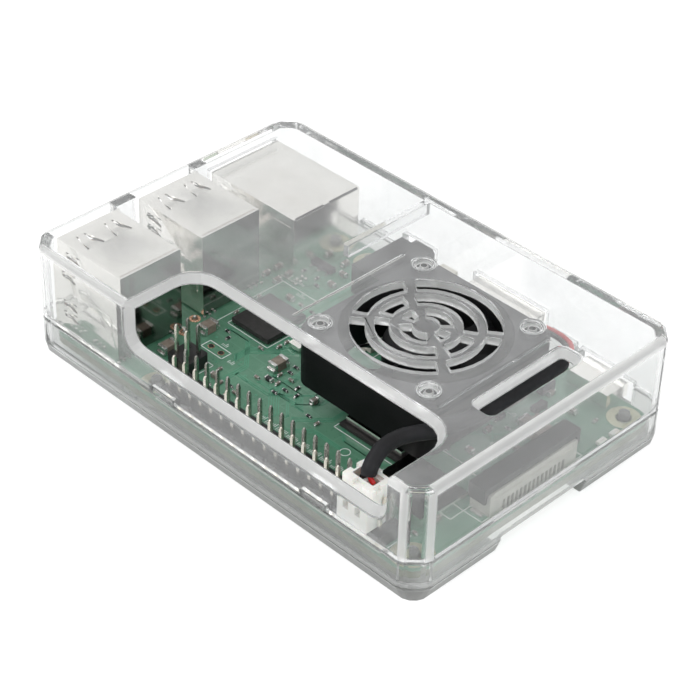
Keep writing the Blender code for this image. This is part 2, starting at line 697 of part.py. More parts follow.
def ring_points(centre, direction, radius):
    """A ring of points round the centre, square to the direction."""
    across = direction.cross(Vector((1, 0.05, 0.02))).normalized()
    upward = across.cross(direction).normalized()
    points = []
    for index in range(SLEEVE_SIDES):
        turn = 2 * math.pi * index / SLEEVE_SIDES
        points.append(centre + (across * math.cos(turn) + upward * math.sin(turn)) * radius)
    return points


mesh = bmesh.new()
outer_rings = []
inner_rings = []
for index, sample in enumerate(covered):
    centre = sample.to_3d()
    ahead = covered[min(index + 1, len(covered) - 1)].to_3d()
    behind = covered[max(index - 1, 0)].to_3d()
    direction = (ahead - behind).normalized()
    outer_rings.append([mesh.verts.new(point) for point in ring_points(centre, direction, SLEEVE_OUTER)])
    inner_rings.append([mesh.verts.new(point) for point in ring_points(centre, direction, SLEEVE_INNER)])
for rings in (outer_rings, inner_rings):
    for lower, upper in zip(rings, rings[1:]):
        for i in range(SLEEVE_SIDES):
            j = (i + 1) % SLEEVE_SIDES
            mesh.faces.new((lower[i], lower[j], upper[j], upper[i]))
for position in (0, -1):
    for i in range(SLEEVE_SIDES):
        j = (i + 1) % SLEEVE_SIDES
        mesh.faces.new((outer_rings[position][i], outer_rings[position][j], inner_rings[position][j],
                        inner_rings[position][i]))
finish(mesh, "lead_sleeve", BLACK)

plug_low = HEADER_TOP + GAP
plug = box("lead_plug", (PLUG_X - 3.3, PLUG_X + 3.3), (-28.15, -23.75), (plug_low, PLUG_TOP), WHITE)
for x in (PLUG_X - 2.6, PLUG_X):
    combine(plug, box("key", (x - 0.6, x + 0.6), (-24.5, -23.2), (plug_low + 1.5, PLUG_TOP)), "UNION")
contact_x = [PLUG_X - PITCH / 2, PLUG_X + PITCH / 2]
cavity_y = (PLUG_Y - 0.95, PLUG_Y + 0.95)
cut(plug, [box("cavity", (x - 0.95, x + 0.95), cavity_y, (plug_low - 1, PLUG_TOP + 1)) for x in contact_x])
resharpen(plug)
for label, x in zip(("ground", "supply"), contact_x):
    contact = box(f"plug_{label}_contact", (x - 0.75, x + 0.75), (PLUG_Y - 0.75, PLUG_Y + 0.75),
                  (plug_low + 0.2, 13.0), GOLD)
    cut(contact, [box("bore", (x - 0.5, x + 0.5), (PLUG_Y - 0.5, PLUG_Y + 0.5), (plug_low - 1, 14))])
    resharpen(contact)
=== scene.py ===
"""Looks of the single board computer in its clear case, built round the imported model.

Numbers for shapes are millimetres in the object's own frame: the origin is the centre of the case
underside, +X points to the memory-card end, -Y to the pin-header side and +Z up.
"""
import math
import random

import bmesh
import bpy
from mathutils import Matrix, Vector


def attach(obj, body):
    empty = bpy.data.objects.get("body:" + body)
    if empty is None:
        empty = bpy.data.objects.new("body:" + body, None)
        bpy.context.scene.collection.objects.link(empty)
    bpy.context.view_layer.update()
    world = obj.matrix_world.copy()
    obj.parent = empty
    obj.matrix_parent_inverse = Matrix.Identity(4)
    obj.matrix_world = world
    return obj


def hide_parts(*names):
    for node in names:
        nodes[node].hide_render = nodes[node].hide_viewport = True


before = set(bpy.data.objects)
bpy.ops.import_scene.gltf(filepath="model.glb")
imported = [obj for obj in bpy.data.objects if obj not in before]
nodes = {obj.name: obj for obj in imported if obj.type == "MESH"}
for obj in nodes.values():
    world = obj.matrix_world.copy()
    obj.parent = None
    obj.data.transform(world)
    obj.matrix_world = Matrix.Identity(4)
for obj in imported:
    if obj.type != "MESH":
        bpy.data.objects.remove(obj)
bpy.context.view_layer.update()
scene = bpy.context.scene
MM = 0.001

# -------- camera, light and floor

CAMERA_PLACE = (203.62, -208.46, 227.41)
CAMERA_AZIMUTH = 44.14
CAMERA_ELEVATION = 36.90
CAMERA_ROLL = 1.866
CAMERA_LENS = 111.97

camera_data = bpy.data.cameras.new("camera")
camera_data.lens = CAMERA_LENS
camera_data.sensor_width = 36.0
camera_data.clip_start = 0.01
camera = bpy.data.objects.new("camera", camera_data)
scene.collection.objects.link(camera)
turn = (Matrix.Rotation(math.radians(CAMERA_AZIMUTH), 4, "Z")
        @ Matrix.Rotation(math.radians(90 - CAMERA_ELEVATION), 4, "X")
        @ Matrix.Rotation(math.radians(CAMERA_ROLL), 4, "Z"))
camera.matrix_world = Matrix.Translation(Vector(CAMERA_PLACE) * MM) @ turn
scene.camera = camera
scene.view_settings.view_transform = "Standard"


def srgb(red, green, blue):
    """Linear colour from three 0 to 255 display values."""
    return tuple(((value / 255 + 0.055) / 1.055) ** 2.4 if value > 10 else value / 255 / 12.92
                 for value in (red, green, blue)) + (1.0,)


def area_light(name, place, aim, size, power):
    data = bpy.data.lights.new(name, "AREA")
    data.shape = "RECTANGLE"
    data.size, data.size_y = size
    data.energy = power
    light = bpy.data.objects.new(name, data)
    scene.collection.objects.link(light)
    light.location = place
    light.rotation_euler = (Vector(aim) - Vector(place)).to_track_quat("-Z", "Y").to_euler()


area_light("key_softbox", (-0.35, -0.55, 0.75), (0, 0, 0), (0.6, 0.5), 2.2)
area_light("side_softbox", (0.8, -0.1, 0.45), (0, 0, 0.01), (0.4, 0.5), 1.0)

world = bpy.data.worlds.new("studio")
scene.world = world
world.use_nodes = True
sky = world.node_tree
backdrop = sky.nodes["Background"]
backdrop.inputs["Strength"].default_value = 0.95
sky_place, sky_split, sky_ramp = (sky.nodes.new("ShaderNode" + kind)
                                  for kind in ("TexCoord", "SeparateXYZ", "ValToRGB"))
for source, target in ((sky_place.outputs["Generated"], sky_split), (sky_split.outputs["Z"], sky_ramp),
                       (sky_ramp.outputs[0], backdrop)):
    sky.links.new(source, target.inputs[0])
# Grey at the horizon, white overhead.
for stop, place, colour in zip(sky_ramp.color_ramp.elements, (0.0, 0.6),
                               ((0.42, 0.43, 0.44, 1), (1, 1, 1, 1))):
    stop.position, stop.color = place, colour


# -------- materials

NOISE_ROUGHNESS = 0.55
GRAIN_DEPTH = 0.12
SHARP = (0.15, 0.15, 0.15)


class Looks:
    """A material being made, with short ways to add its nodes."""

    def __init__(self, name):
        self.material = bpy.data.materials.new(name)
        self.material.use_nodes = True
        self.nodes = self.material.node_tree.nodes
        self.shader = self.nodes["Principled BSDF"]
        self.output = self.nodes["Material Output"]
        self.place = self.node("TexCoord").outputs["Object"]

    def put(self, node, inputs):
        """Gives inputs of a node a value or another node's output. In a name, _ stands for a space."""
        for name, value in inputs.items():
            socket = node.inputs[name.replace("_", " ") if isinstance(name, str) else name]
            if isinstance(value, bpy.types.NodeSocket):
                self.material.node_tree.links.new(value, socket)
            else:
                socket.default_value = value

    def node(self, kind, **inputs):
        made = self.nodes.new("ShaderNode" + kind)
        self.put(made, inputs)
        return made

    def calc(self, operation, *values):
        made = self.node("Math")
        made.operation = operation
        self.put(made, dict(enumerate(values)))
        return made.outputs[0]

    def noise(self, size, detail=3.0, stretch=(1, 1, 1)):
        """Noise in the object's own coordinates with features of that size in millimetres."""
        mapping = self.node("Mapping", Vector=self.place, Scale=stretch)
        return self.node("TexNoise", Vector=mapping.outputs["Vector"], Scale=1000.0 / size, Detail=detail,
                         Roughness=NOISE_ROUGHNESS).outputs["Fac"]

    def spread(self, source, low, high, begin=0.3, end=0.7):
        """Maps a value to a range."""
        return self.node("MapRange", Value=source, From_Min=begin, From_Max=end, To_Min=low,
                         To_Max=high).outputs["Result"]

    def mix(self, factor, first, second):
        """One colour where the factor is 0, the other where it is 1."""
        made = self.node("Mix")
        made.data_type = "RGBA"
        self.put(made, {0: factor, 6: first, 7: second})
        return made.outputs[2]

    def bump(self, height, strength, distance):
        made = self.node("Bump", Height=height, Strength=strength, Distance=distance * MM)
        self.put(self.shader, {"Normal": made.outputs["Normal"]})

    def level(self):
        """1 where the surface faces straight up or down, 0 where it is upright."""
        normal = self.node("SeparateXYZ", Vector=self.node("NewGeometry").outputs["Normal"])
        return self.calc("ABSOLUTE", normal.outputs["Z"])

    def inside(self, boxes):
        """1 inside any of the boxes of the object's own space in millimetres, 0 outside.

        Each box is its low corner, its high corner and, if it has soft edges, how far they reach along each
        axis. None is no limit.
        """
        position = self.node("SeparateXYZ", Vector=self.place)
        found = None
        for low, high, *edges in boxes:
            product = None
            for axis, first, last, soft in zip("XYZ", low, high, edges[0] if edges else SHARP):
                for limit, sign in ((first, 1), (last, -1)):
                    if limit is None:
                        continue
                    step = self.spread(position.outputs[axis], 0, 1, (limit - sign * soft) * MM,
                                       (limit + sign * soft) * MM)
                    product = step if product is None else self.calc("MULTIPLY", product, step)
            found = product if found is None else self.calc("MAXIMUM", found, product)
        return found


def surface(name, first, second, size, rough, metallic, bump, fine, stretch=(1, 1, 1), **inputs):
    """A material whose colour and gloss drift over the surface, with a fine grain in its bump."""
    look = Looks(name)
    drift = look.noise(size, 3.0, stretch)
    grain = look.noise(fine, 4.0, stretch)
    look.put(look.shader, {"Base Color": look.mix(look.spread(drift, 0, 1), first, second),
                           "Roughness": look.spread(grain, *rough), "Metallic": metallic, **inputs})
    if bump:
        look.bump(grain, bump, fine * GRAIN_DEPTH)
    return look.material


def dull(name, first, second, size, rough, bump, fine, **inputs):
    """A plastic, ceramic or painted surface, from its darkest and lightest display colours."""
    return surface(name, srgb(*first), srgb(*second), size, rough, 0.0, bump, fine, **inputs)


def metal(name, first, second, size, rough, bump, fine, stretch=(1, 1, 1)):
    return surface(name, (*first, 1), (*second, 1), size, rough, 1.0, bump, fine, stretch)


BLACK_PLASTIC = dull("moulded_black", (16, 16, 17), (26, 26, 28), 3.0, (0.34, 0.5), 0.25, 0.25)
FAN_BLACK = dull("fan_black", (14, 14, 15), (22, 22, 23), 4.0, (0.42, 0.55), 0.2, 0.3,
                 Specular_IOR_Level=0.16)
FAN_TOP = dull("fan_top_face", (46, 46, 48), (58, 58, 60), 4.0, (0.42, 0.55), 0.2, 0.3)
CHIP_BLACK = dull("chip_epoxy", (40, 39, 39), (56, 54, 53), 1.2, (0.5, 0.66), 0.5, 0.08)
NYLON = dull("white_nylon", (228, 226, 220), (243, 242, 238), 2.0, (0.35, 0.5), 0.15, 0.25,
             Subsurface_Weight=0.15, Subsurface_Scale=0.0008)
CREAM = dull("cream_nylon", (205, 200, 188), (224, 220, 210), 2.0, (0.4, 0.55), 0.2, 0.25)
PALE_GREY = dull("pale_nylon", (176, 174, 166), (196, 194, 186), 2.0, (0.4, 0.55), 0.2, 0.25)
MLCC = dull("capacitor_body", (120, 108, 98), (148, 136, 124), 0.8, (0.4, 0.55), 0.3, 0.1)
SMALL_GREY = dull("small_capacitor", (118, 112, 104), (142, 136, 126), 0.5, (0.4, 0.55), 0.3, 0.1)
RESISTOR = dull("resistor_body", (22, 22, 26), (38, 38, 42), 0.5, (0.25, 0.4), 0.2, 0.1)
FERRITE = dull("ferrite", (62, 62, 66), (86, 86, 90), 1.0, (0.5, 0.7), 0.6, 0.15)
SILK = dull("board_ink", (214, 224, 218), (238, 243, 240), 0.5, (0.5, 0.7), 0.3, 0.1)
RED_WIRE = dull("red_insulation", (176, 18, 22), (206, 34, 34), 3.0, (0.3, 0.42), 0.15, 0.3)
BLACK_WIRE = dull("black_insulation", (17, 17, 18), (30, 30, 31), 3.0, (0.32, 0.44), 0.15, 0.3)
SLEEVING = dull("sleeving", (20, 20, 22), (32, 32, 35), 2.2, (0.42, 0.58), 0.6, 0.35,
                stretch=(0.5, 0.5, 0.5), Specular_IOR_Level=0.25)
LENS_GREEN = dull("green_lens", (178, 194, 168), (200, 212, 190), 0.6, (0.2, 0.3), 0.0, 0.3)
LENS_YELLOW = dull("yellow_lens", (206, 196, 170), (222, 212, 186), 0.6, (0.2, 0.3), 0.0, 0.3)
TRACK_GREEN = dull("covered_track", (78, 146, 116), (94, 160, 130), 4.0, (0.26, 0.38), 0.1, 0.4)
STEEL = metal("tinned_steel", (0.86, 0.84, 0.80), (0.90, 0.88, 0.845), 9.0, (0.11, 0.18), 0.02, 0.5,
              (1, 3, 1))
# Painted shade: a darker copy of the steel for the sockets' faces towards the board, which reflect the
# shaded board.
STEEL_PAINTED_SHADE = metal("steel_painted_shade", (0.26, 0.26, 0.24), (0.32, 0.32, 0.30), 6.0, (0.08, 0.14), 0.02, 0.5)
# Painted shade: dark steel put inside the sockets' mouths and slits and in the test pads' middles, where
# shade falls.
DARK_STEEL = metal("shaded_steel", (0.07, 0.07, 0.07), (0.11, 0.11, 0.105), 3.0, (0.3, 0.45), 0.05, 0.4)
TIN = metal("solder_tin", (0.60, 0.60, 0.59), (0.74, 0.73, 0.71), 0.8, (0.16, 0.3), 0.2, 0.3)
PIN_METAL = metal("pin_plating", (0.74, 0.70, 0.60), (0.86, 0.82, 0.74), 1.6, (0.16, 0.26), 0.03, 0.5,
                  (1, 1, 0.3))
# Painted shade: a darker copy of the plating for the far row of pins, which the near row shades.
PIN_PAINTED_SHADE = metal("pin_plating_painted_shade", (0.34, 0.34, 0.31), (0.46, 0.46, 0.43), 1.6, (0.2, 0.32), 0.03, 0.5,
                 (1, 1, 0.3))
GOLD = metal("gold_plating", (0.82, 0.66, 0.36), (0.92, 0.78, 0.48), 1.0, (0.2, 0.32), 0.1, 0.2)
COPPER = metal("copper_ring", (0.62, 0.36, 0.24), (0.82, 0.54, 0.4), 0.6, (0.2, 0.34), 0.15, 0.2)
BARE_PAD = surface("bare_pad", (0.50, 0.50, 0.34, 1), (0.62, 0.62, 0.44, 1), 1.0, (0.3, 0.42), 0.6,
                   0.1, 0.2)


def solder_mask():
    """Green board lacquer with buried copper showing as paler tracks, and glass-fibre edges."""
    look = Looks("solder_mask")
    green = look.mix(look.spread(look.noise(9.0), 0, 1), srgb(75, 126, 100), srgb(99, 147, 121))
    copper = look.node("TexBrick", Vector=look.place, Scale=1000.0 / 9.0, Mortar_Size=0.012,
                       Brick_Width=0.7, Row_Height=0.33, Color1=(0, 0, 0, 1),
                       Color2=(0.25, 0.25, 0.25, 1), Mortar=(1, 1, 1, 1))
    green = look.mix(look.spread(copper.outputs["Color"], 0, 0.4, 0, 1), green, srgb(112, 160, 134))
    fibre = look.mix(look.spread(look.noise(0.4, 2, (1, 1, 4)), 0, 1), srgb(84, 92, 72), srgb(112, 118, 92))
    grain = look.noise(0.5, 4)
    look.put(look.shader, {"Base Color": look.mix(look.spread(look.level(), 0, 1), fibre, green),
                           "Roughness": look.spread(grain, 0.26, 0.4),
                           "Coat Weight": 0.3, "Coat Roughness": 0.18})
    look.bump(grain, 0.2, 0.05)
    return look.material


BOARD_GREEN = solder_mask()

PLASTIC_IOR = 1.49
FROST_ROUGHNESS = 0.34
FROST_AND_PAINTED_LIGHT_MILK = -0.4
SHADE_HAZE = 0.45
DEPTH_COLOUR = (0.5, 0.505, 0.5, 1)
LIGHT_THROUGH = (0.94, 0.95, 0.95, 1)


def clear_plastic(name, haze, tints, gloss, frost_and_shade_boxes, frost_and_painted_light_colour, shaded, shade_colour, depth_tint,
                  steepest=1.0, edges=()):
    """Clear moulded plastic with slight flow marks, a little milky, with frosting round its openings, and
    with painted shade and painted highlights.

    The boxes for frosting and painted shade take their colour only where the surface is steeper than the
    limit, and the edges' boxes take it all over as painted highlights. The shaded boxes are painted shade: a
    greyer tint and less milk.
    Light from lamps and light scattered by the parts inside passes straight through. The inside takes
    off a little light over each millimetre, so that the long way along a wall looks grey.
    """
    look = Looks(name)
    steep = look.spread(look.level(), 1, 0, steepest, steepest + 0.04)
    frost_and_painted_light = look.calc("MULTIPLY", look.inside(frost_and_shade_boxes), steep)
    if edges:
        frost_and_painted_light = look.calc("MAXIMUM", frost_and_painted_light, look.inside(edges))
    shade = look.inside(shaded)
    moulded = look.mix(look.spread(look.noise(14.0, 2.0), 0, 1), *tints)
    # Painted shade: the shaded boxes take the greyer shade colour.
    moulded = look.mix(shade, moulded, shade_colour)
    mottle = look.calc("MULTIPLY", look.spread(look.noise(5.0, 3.0), haze * 0.7, haze * 1.3),
                       look.spread(shade, 1.0, SHADE_HAZE, 0, 1))
    fine = look.spread(look.noise(2.5, 3.0), *gloss)
    look.put(look.shader, {
        "Base Color": look.mix(frost_and_painted_light, moulded, frost_and_painted_light_colour), "IOR": PLASTIC_IOR,
        "Roughness": look.calc("MULTIPLY_ADD", frost_and_painted_light, FROST_ROUGHNESS, fine),
        "Transmission Weight": look.calc("MULTIPLY_ADD", frost_and_painted_light, FROST_AND_PAINTED_LIGHT_MILK,
                                         look.calc("SUBTRACT", 1.0, mottle))})
    look.bump(look.noise(6.0, 2.0), 0.12, 0.05)
    path = look.node("LightPath").outputs
    through = look.node("MixShader")
    look.put(through, {0: look.calc("MAXIMUM", path["Is Shadow Ray"], path["Is Diffuse Ray"]),
                       1: look.shader.outputs[0],
                       2: look.node("BsdfTransparent", Color=LIGHT_THROUGH).outputs[0]})
    inside = look.node("VolumeAbsorption", Color=DEPTH_COLOUR, Density=depth_tint)
    look.put(look.output, {"Surface": through.outputs[0], "Volume": inside.outputs[0]})
    return look.material


# The sloping rims of the pin window, on top and in front, and the walls of the lead slot and of the vents.
WINDOW_RIMS = [((-22.4, -30.0, 20.75), (40.7, -12.6, 22.05)), ((-22.4, -30.15, 11.4), (40.7, -28.6, 20.9)),
               ((34.0, -10.2, 20.75), (40.9, 15.0, 22.05)), ((2.0, -13.0, 20.75), (31.5, 16.0, 22.05))]
# Painted highlights: the rounded top edges and the near vertical edges are painted as pale bands where they
# catch the light.
PALE_EDGES = [((44.3, -27.0, 20.8), (None, 27.0, None)), ((None, -27.0, 20.8), (-44.6, 27.0, None)),
              ((-42.6, None, 21.1), (42.6, -29.2, None)), ((-42.6, 29.2, 21.1), (42.6, None, None)),
              ((41.8, None, 8.0), (43.1, -28.3, 21.4)), ((43.7, -27.7, 8.0), (None, -26.4, 21.4)),
              ((-43.1, None, 8.0), (-42.0, -28.3, 21.4))]
# Painted shade: the foot of the case is painted dark grey, less so towards the sockets.
FOOT = [((-26.0, None, None), (None, None, 2.3), (14.0, 0.15, 0.3))]
# Painted shade: the walls that stand along the pin side and the card end are painted greyer than the flat
# top.
WALL_EDGE = (0.6, 0.6, 0.6)
WALLS = [((None, None, None), (None, -28.2, 20.4), WALL_EDGE),
         ((43.3, None, None), (None, None, 20.4), WALL_EDGE)]
# Painted shade on the plate's thin end over each socket opening.
PLATE_ENDS = [((None, start, 20.2), (-44.3, end, None))
              for start, end in ((-25.9, -12.1), (-7.9, 5.9), (9.4, 26.1))]
# On the case, the dark grey on the foot and the greyer tint on the pin-side wall are painted shade.
CASE_CLEAR = clear_plastic("clear_case", 0.15, [(0.84, 0.85, 0.84, 1), (0.92, 0.93, 0.92, 1)],
                           (0.03, 0.10), FOOT, (0.34, 0.34, 0.335, 1), WALLS[:1],
                           (0.80, 0.805, 0.80, 1), 100.0)
# On the lid, the greyer tint of the walls and plate ends is painted shade, and the pale edges are painted
# highlights.
LID_CLEAR = clear_plastic("clear_lid", 0.09, [(0.972, 0.978, 0.98, 1), (0.995, 0.998, 0.998, 1)],
                          (0.01, 0.05), WINDOW_RIMS, (0.88, 0.88, 0.87, 1), WALLS + PLATE_ENDS,
                          (0.78, 0.79, 0.785, 1), 25.0, 0.95, PALE_EDGES)


# -------- mesh making

SMOOTH_ANGLE = 35
SOFTENED_ANGLE = 38

def polar(degrees, radius=1.0):
    return radius * math.cos(math.radians(degrees)), radius * math.sin(math.radians(degrees))


def beside(centre, dx, dy, degrees):
    """The place dx, dy away from the centre in axes turned by that angle."""
    return tuple(Vector(centre) + Matrix.Rotation(math.radians(degrees), 2) @ Vector((dx, dy)))


class Shape:
    """A mesh made in millimetres out of closed pieces, each with a material number."""

    def __init__(self):
        self.mesh = bmesh.new()

    def loft(self, loops, paint=0):
        """A closed skin over a row of loops."""
        rings = [[self.mesh.verts.new(point) for point in loop] for loop in loops]
        faces = [self.mesh.faces.new(list(reversed(rings[0]))), self.mesh.faces.new(rings[-1])]
        for lower, upper in zip(rings, rings[1:]):
            for index in range(len(lower)):
                after = (index + 1) % len(lower)
                faces.append(self.mesh.faces.new((lower[index], lower[after], upper[after], upper[index])))
        for face in faces:
            face.material_index = paint

    def prism(self, outline, low, high, paint=0):
        self.loft([[(x, y, z) for x, y in outline] for z in (low, high)], paint)

    def box(self, x0, x1, y0, y1, z0, z1, paint=0):
        self.prism([(x0, y0), (x1, y0), (x1, y1), (x0, y1)], z0, z1, paint)

    def block(self, centre, size, height, turn_degrees=0.0, base=None, paint=0):
        """A box standing on a level, turned about its centre."""
        outline = [beside(centre, sx * size[0] / 2, sy * size[1] / 2, turn_degrees)
                   for sx, sy in ((-1, -1), (1, -1), (1, 1), (-1, 1))]
        low = BOARD_TOP if base is None else base
        self.prism(outline, low, low + height, paint)

    def lathe(self, profile, centre, paint=0, sides=32):
        """A round upright solid from (radius, height) pairs."""
        turns = [360 * (index + 0.5) / sides for index in range(sides)]
        self.loft([[tuple(c + o for c, o in zip(centre, (*polar(angle, radius), height))) for angle in turns]
                   for radius, height in profile], paint)

    def strip(self, centres, across, width, thickness, paint=0):
        """A flat strip along a line of points; widths may change along it."""
        loops = []
        side = Vector(across).normalized()
        for index, centre in enumerate(centres):
            ahead = Vector(centres[min(index + 1, len(centres) - 1)])
            behind = Vector(centres[max(index - 1, 0)])
            normal = side.cross(ahead - behind).normalized() * thickness / 2
            half = side * (width[index] if isinstance(width, list) else width) / 2
            middle = Vector(centre)
            loops.append([middle - half - normal, middle + half - normal, middle + half + normal,
                          middle - half + normal])
        self.loft(loops, paint)

    def object(self, name):
        bmesh.ops.recalc_face_normals(self.mesh, faces=self.mesh.faces)
        bmesh.ops.scale(self.mesh, vec=(MM, MM, MM), verts=self.mesh.verts)
        data = bpy.data.meshes.new(name)
        self.mesh.to_mesh(data)
        self.mesh.free()
        thing = bpy.data.objects.new(name, data)
        scene.collection.objects.link(thing)
        return thing


def carve(thing, *tools, operation="DIFFERENCE"):
    """Cuts closed shapes out of the object, or joins them to it."""
    for tool in tools:
        modifier = thing.modifiers.new("carve", "BOOLEAN")
        modifier.operation = operation
        modifier.solver = "EXACT"
        modifier.object = tool
    graph = bpy.context.evaluated_depsgraph_get()
    data = bpy.data.meshes.new_from_object(thing.evaluated_get(graph))
    thing.modifiers.clear()
    thing.data = data
    for tool in tools:
        bpy.data.objects.remove(tool, do_unlink=True)


def paint_inside(thing, low, high, paint):
    """Gives a material number to the faces whose middles lie in a box."""
    for face in thing.data.polygons:
        if all(first * MM <= middle <= last * MM for first, middle, last in zip(low, face.center, high)):
            face.material_index = paint


def complete(thing, materials, replaces=(), bevel=0.0, segments=2, angle=SMOOTH_ANGLE, body="base"):
    """Gives a piece its looks and its place in the model."""
    for material in materials:
        thing.data.materials.append(material)
    thing.data.shade_smooth()
    thing.data.set_sharp_from_angle(angle=math.radians(angle))
    if bevel:
        soften(thing, bevel, segments)
    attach(thing, body)
    if replaces:
        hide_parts(*replaces)
    return thing


def soften(thing, width, segments=2, clamp=True):
    """Rounds the sharp edges a little, as every moulded or stamped part has them."""
    modifier = thing.modifiers.new("soft_edges", "BEVEL")
    modifier.width = width * MM
    modifier.segments = segments
    modifier.limit_method = "ANGLE"
    modifier.angle_limit = math.radians(SOFTENED_ANGLE)
    modifier.use_clamp_overlap = clamp
    modifier.miter_outer = "MITER_ARC"


def box_piece(name, *limits):
    """A box as an object of its own, to carve or to carve with."""
    shape = Shape()
    shape.box(*limits)
    return shape.object(name)


def round_piece(name, profile, centre, sides):
    """A round solid as an object of its own."""
    shape = Shape()
    shape.lathe(profile, centre, 0, sides)
    return shape.object(name)


def repaint(name, material, bevel=0.0):
    """Gives a CAD node a better material and softer edges."""
    node = nodes[name]
    for slot in node.material_slots:
        slot.material = material
    if bevel:
        soften(node, bevel)


def rounded(x0, x1, y0, y1, radius, steps=6):
    """Outline of a rectangle with rounded corners."""
    points = []
    for cx, cy, start in ((x1 - radius, y1 - radius, 0), (x0 + radius, y1 - radius, 90),
                          (x0 + radius, y0 + radius, 180), (x1 - radius, y0 + radius, 270)):
        for step in range(steps + 1):
            dx, dy = polar(start + 90 * step / steps, radius)
            points.append((cx + dx, cy + dy))
    return points


# -------- case

JOIN_REACH = 0.03
CASE_EDGE = 0.2
for name, material in (("case_lid", LID_CLEAR), ("case_base", CASE_CLEAR)):
    repaint(name, material)
    weld = nodes[name].modifiers.new("join_close_points", "WELD")
    weld.merge_threshold = JOIN_REACH * MM
    soften(nodes[name], CASE_EDGE, 2, False)

# -------- circuit board

BOARD_TOP = 4.7
BOARD_UNDER = 3.3
SEAT = BOARD_TOP + 0.02
BOARD_X = (-41.86, 43.14)
BOARD_Y = (-28.0, 28.0)
BOARD_MARGIN = 1
HOLES = [(39.64, 24.5), (-18.36, 24.5), (39.64, -24.5), (-18.36, -24.5)]
HOLE_CLEAR = 3.6
INK = 0.03
SUNK = 0.02
TRACK_WIDTH = 0.17
TRACK_PITCH = 0.42
VIA_ENDS = 0.26
VIA_LOOSE = 0.24
repaint("circuit_board", BOARD_GREEN, 0.08)

# Places taken by large parts, as (x, y, half x, half y); tracks and small parts keep off them.
TAKEN = [(10.6, -24.5, 26, 3.2), (-36, -19, 9.5, 7.4), (-36, -1, 9.5, 7.4), (-34, 17.7, 11.5, 8.6),
         (-18.46, -18.6, 3, 3), (11.14, 24, 8, 6.5), (-10.4, 21, 4.2, 8), (32.5, 26, 4.6, 4)]


def free_of_parts(x, y, margin=0.0):
    if not all(low + BOARD_MARGIN < place < high - BOARD_MARGIN
               for place, (low, high) in ((x, BOARD_X), (y, BOARD_Y))):
        return False
    if any(math.hypot(x - hx, y - hy) < HOLE_CLEAR for hx, hy in HOLES):
        return False
    return not any(abs(x - tx) < hx + margin and abs(y - ty) < hy + margin for tx, ty, hx, hy in TAKEN)


dice = random.Random(7)
tracks = Shape()
vias = Shape()


def lay_track(points, width):
    """A raised track along straight runs with a mitre at each bend."""
    line = [Vector(point) for point in points]
    left, right = [], []
    for index, point in enumerate(line):
        before = (point - line[index - 1]).normalized() if index else None
        after = (line[index + 1] - point).normalized() if index < len(line) - 1 else None
        heading = ((before or after) + (after or before)).normalized()
        normal = Vector((-heading.y, heading.x))
        reach = width / 2 / max(0.6, abs(normal.dot(Vector((-(after or before).y, (after or before).x)))))
        left.append(point + normal * reach)
        right.append(point - normal * reach)
    outline = [tuple(point) for point in right + left[::-1]]
    tracks.prism(outline, BOARD_TOP - 0.05, BOARD_TOP + INK, 0)


def flat_ring(shape, x, y, outer, inner, inner_low, sides, level=BOARD_TOP, lift=INK, sunk=SUNK):
    """A thin ring on the board, whose bore is slightly tapered."""
    shape.lathe([(outer, -sunk), (outer, lift), (inner, lift), (inner_low, -sunk)], (x, y, level), 0, sides)


def via(x, y, radius):
    flat_ring(vias, x, y, radius, radius * 0.45, radius * 0.4, 10)


for bundle in range(64):
    start = Vector((dice.uniform(-30, 41), dice.uniform(-20, 26)))
    heading = dice.choice([0, 45, 90, 135, 180, 225, 270, 315])
    corners = [start]
    for leg in range(dice.choice([2, 3, 3, 4])):
        corners.append(corners[-1] + Vector(polar(heading)) * dice.uniform(2.0, 8.0))
        heading += dice.choice([-45, 45])
    across = Vector((-(corners[1] - corners[0]).y, (corners[1] - corners[0]).x)).normalized()
    for member in range(dice.choice([1, 2, 3, 5])):
        line = [corner + across * TRACK_PITCH * member for corner in corners]
        if all(free_of_parts(point.x, point.y, 0.3) for point in line):
            lay_track(line, TRACK_WIDTH)
            for end in (line[0], line[-1]):
                via(end.x, end.y, VIA_ENDS)
for spot in range(170):
    x, y = dice.uniform(-40, 42), dice.uniform(-20, 26)
    if free_of_parts(x, y):
        via(x, y, VIA_LOOSE)
complete(tracks.object("board_tracks"), [TRACK_GREEN])
complete(vias.object("board_vias"), [TRACK_GREEN])

# Solder beside the sockets' mounting tabs.
BOARD_TABS = [(-26.6, -24.6), (-26.6, -13.6), (-26.6, -6.4), (-26.6, 4.6), (-33.0, -26.3), (-39.0, -26.3),
              (-22.2, 11.2), (-22.2, 24.2)]
COPPER_RINGS = ((-27.6, -9.0), (-25.9, -12.9))
TEST_PADS = ((-19.8, -12.2), (-17.2, -12.3))
pads = Shape()
for x, y in HOLES:
    flat_ring(pads, x, y, 2.9, 1.45, 1.4, 48)
    flat_ring(pads, x, y, 3.05, 1.45, 1.4, 48, BOARD_UNDER, -INK, -SUNK)
for x, y in COPPER_RINGS:
    pads.lathe([(1.05, 0), (1.05, 0.06), (0.6, 0.08), (0.52, -SUNK)], (x, y, BOARD_TOP), 1, 24)
    pads.lathe([(0.42, 0), (0.4, 0.3), (0.24, 0.62), (0.1, 0.66)], (x, y, BOARD_TOP), 2, 16)
for x, y in BOARD_TABS:
    for step in (-1.2, 0.0, 1.2):
        place = (x, y + step) if x > -30 else (x + step, y)
        pads.block(place, (0.5, 0.5), 0.35, 45, None, 2)
for x, y in TEST_PADS:
    pads.lathe([(0.62, 0), (0.62, 0.04), (0.5, 0.05)], (x, y, BOARD_TOP), 1, 20)
    # The dark middle of each test pad is painted shade.
    pads.lathe([(0.48, 0), (0.46, 0.07)], (x, y, BOARD_TOP), 3, 20)
complete(pads.object("board_pads"), [BARE_PAD, COPPER, TIN, DARK_STEEL])

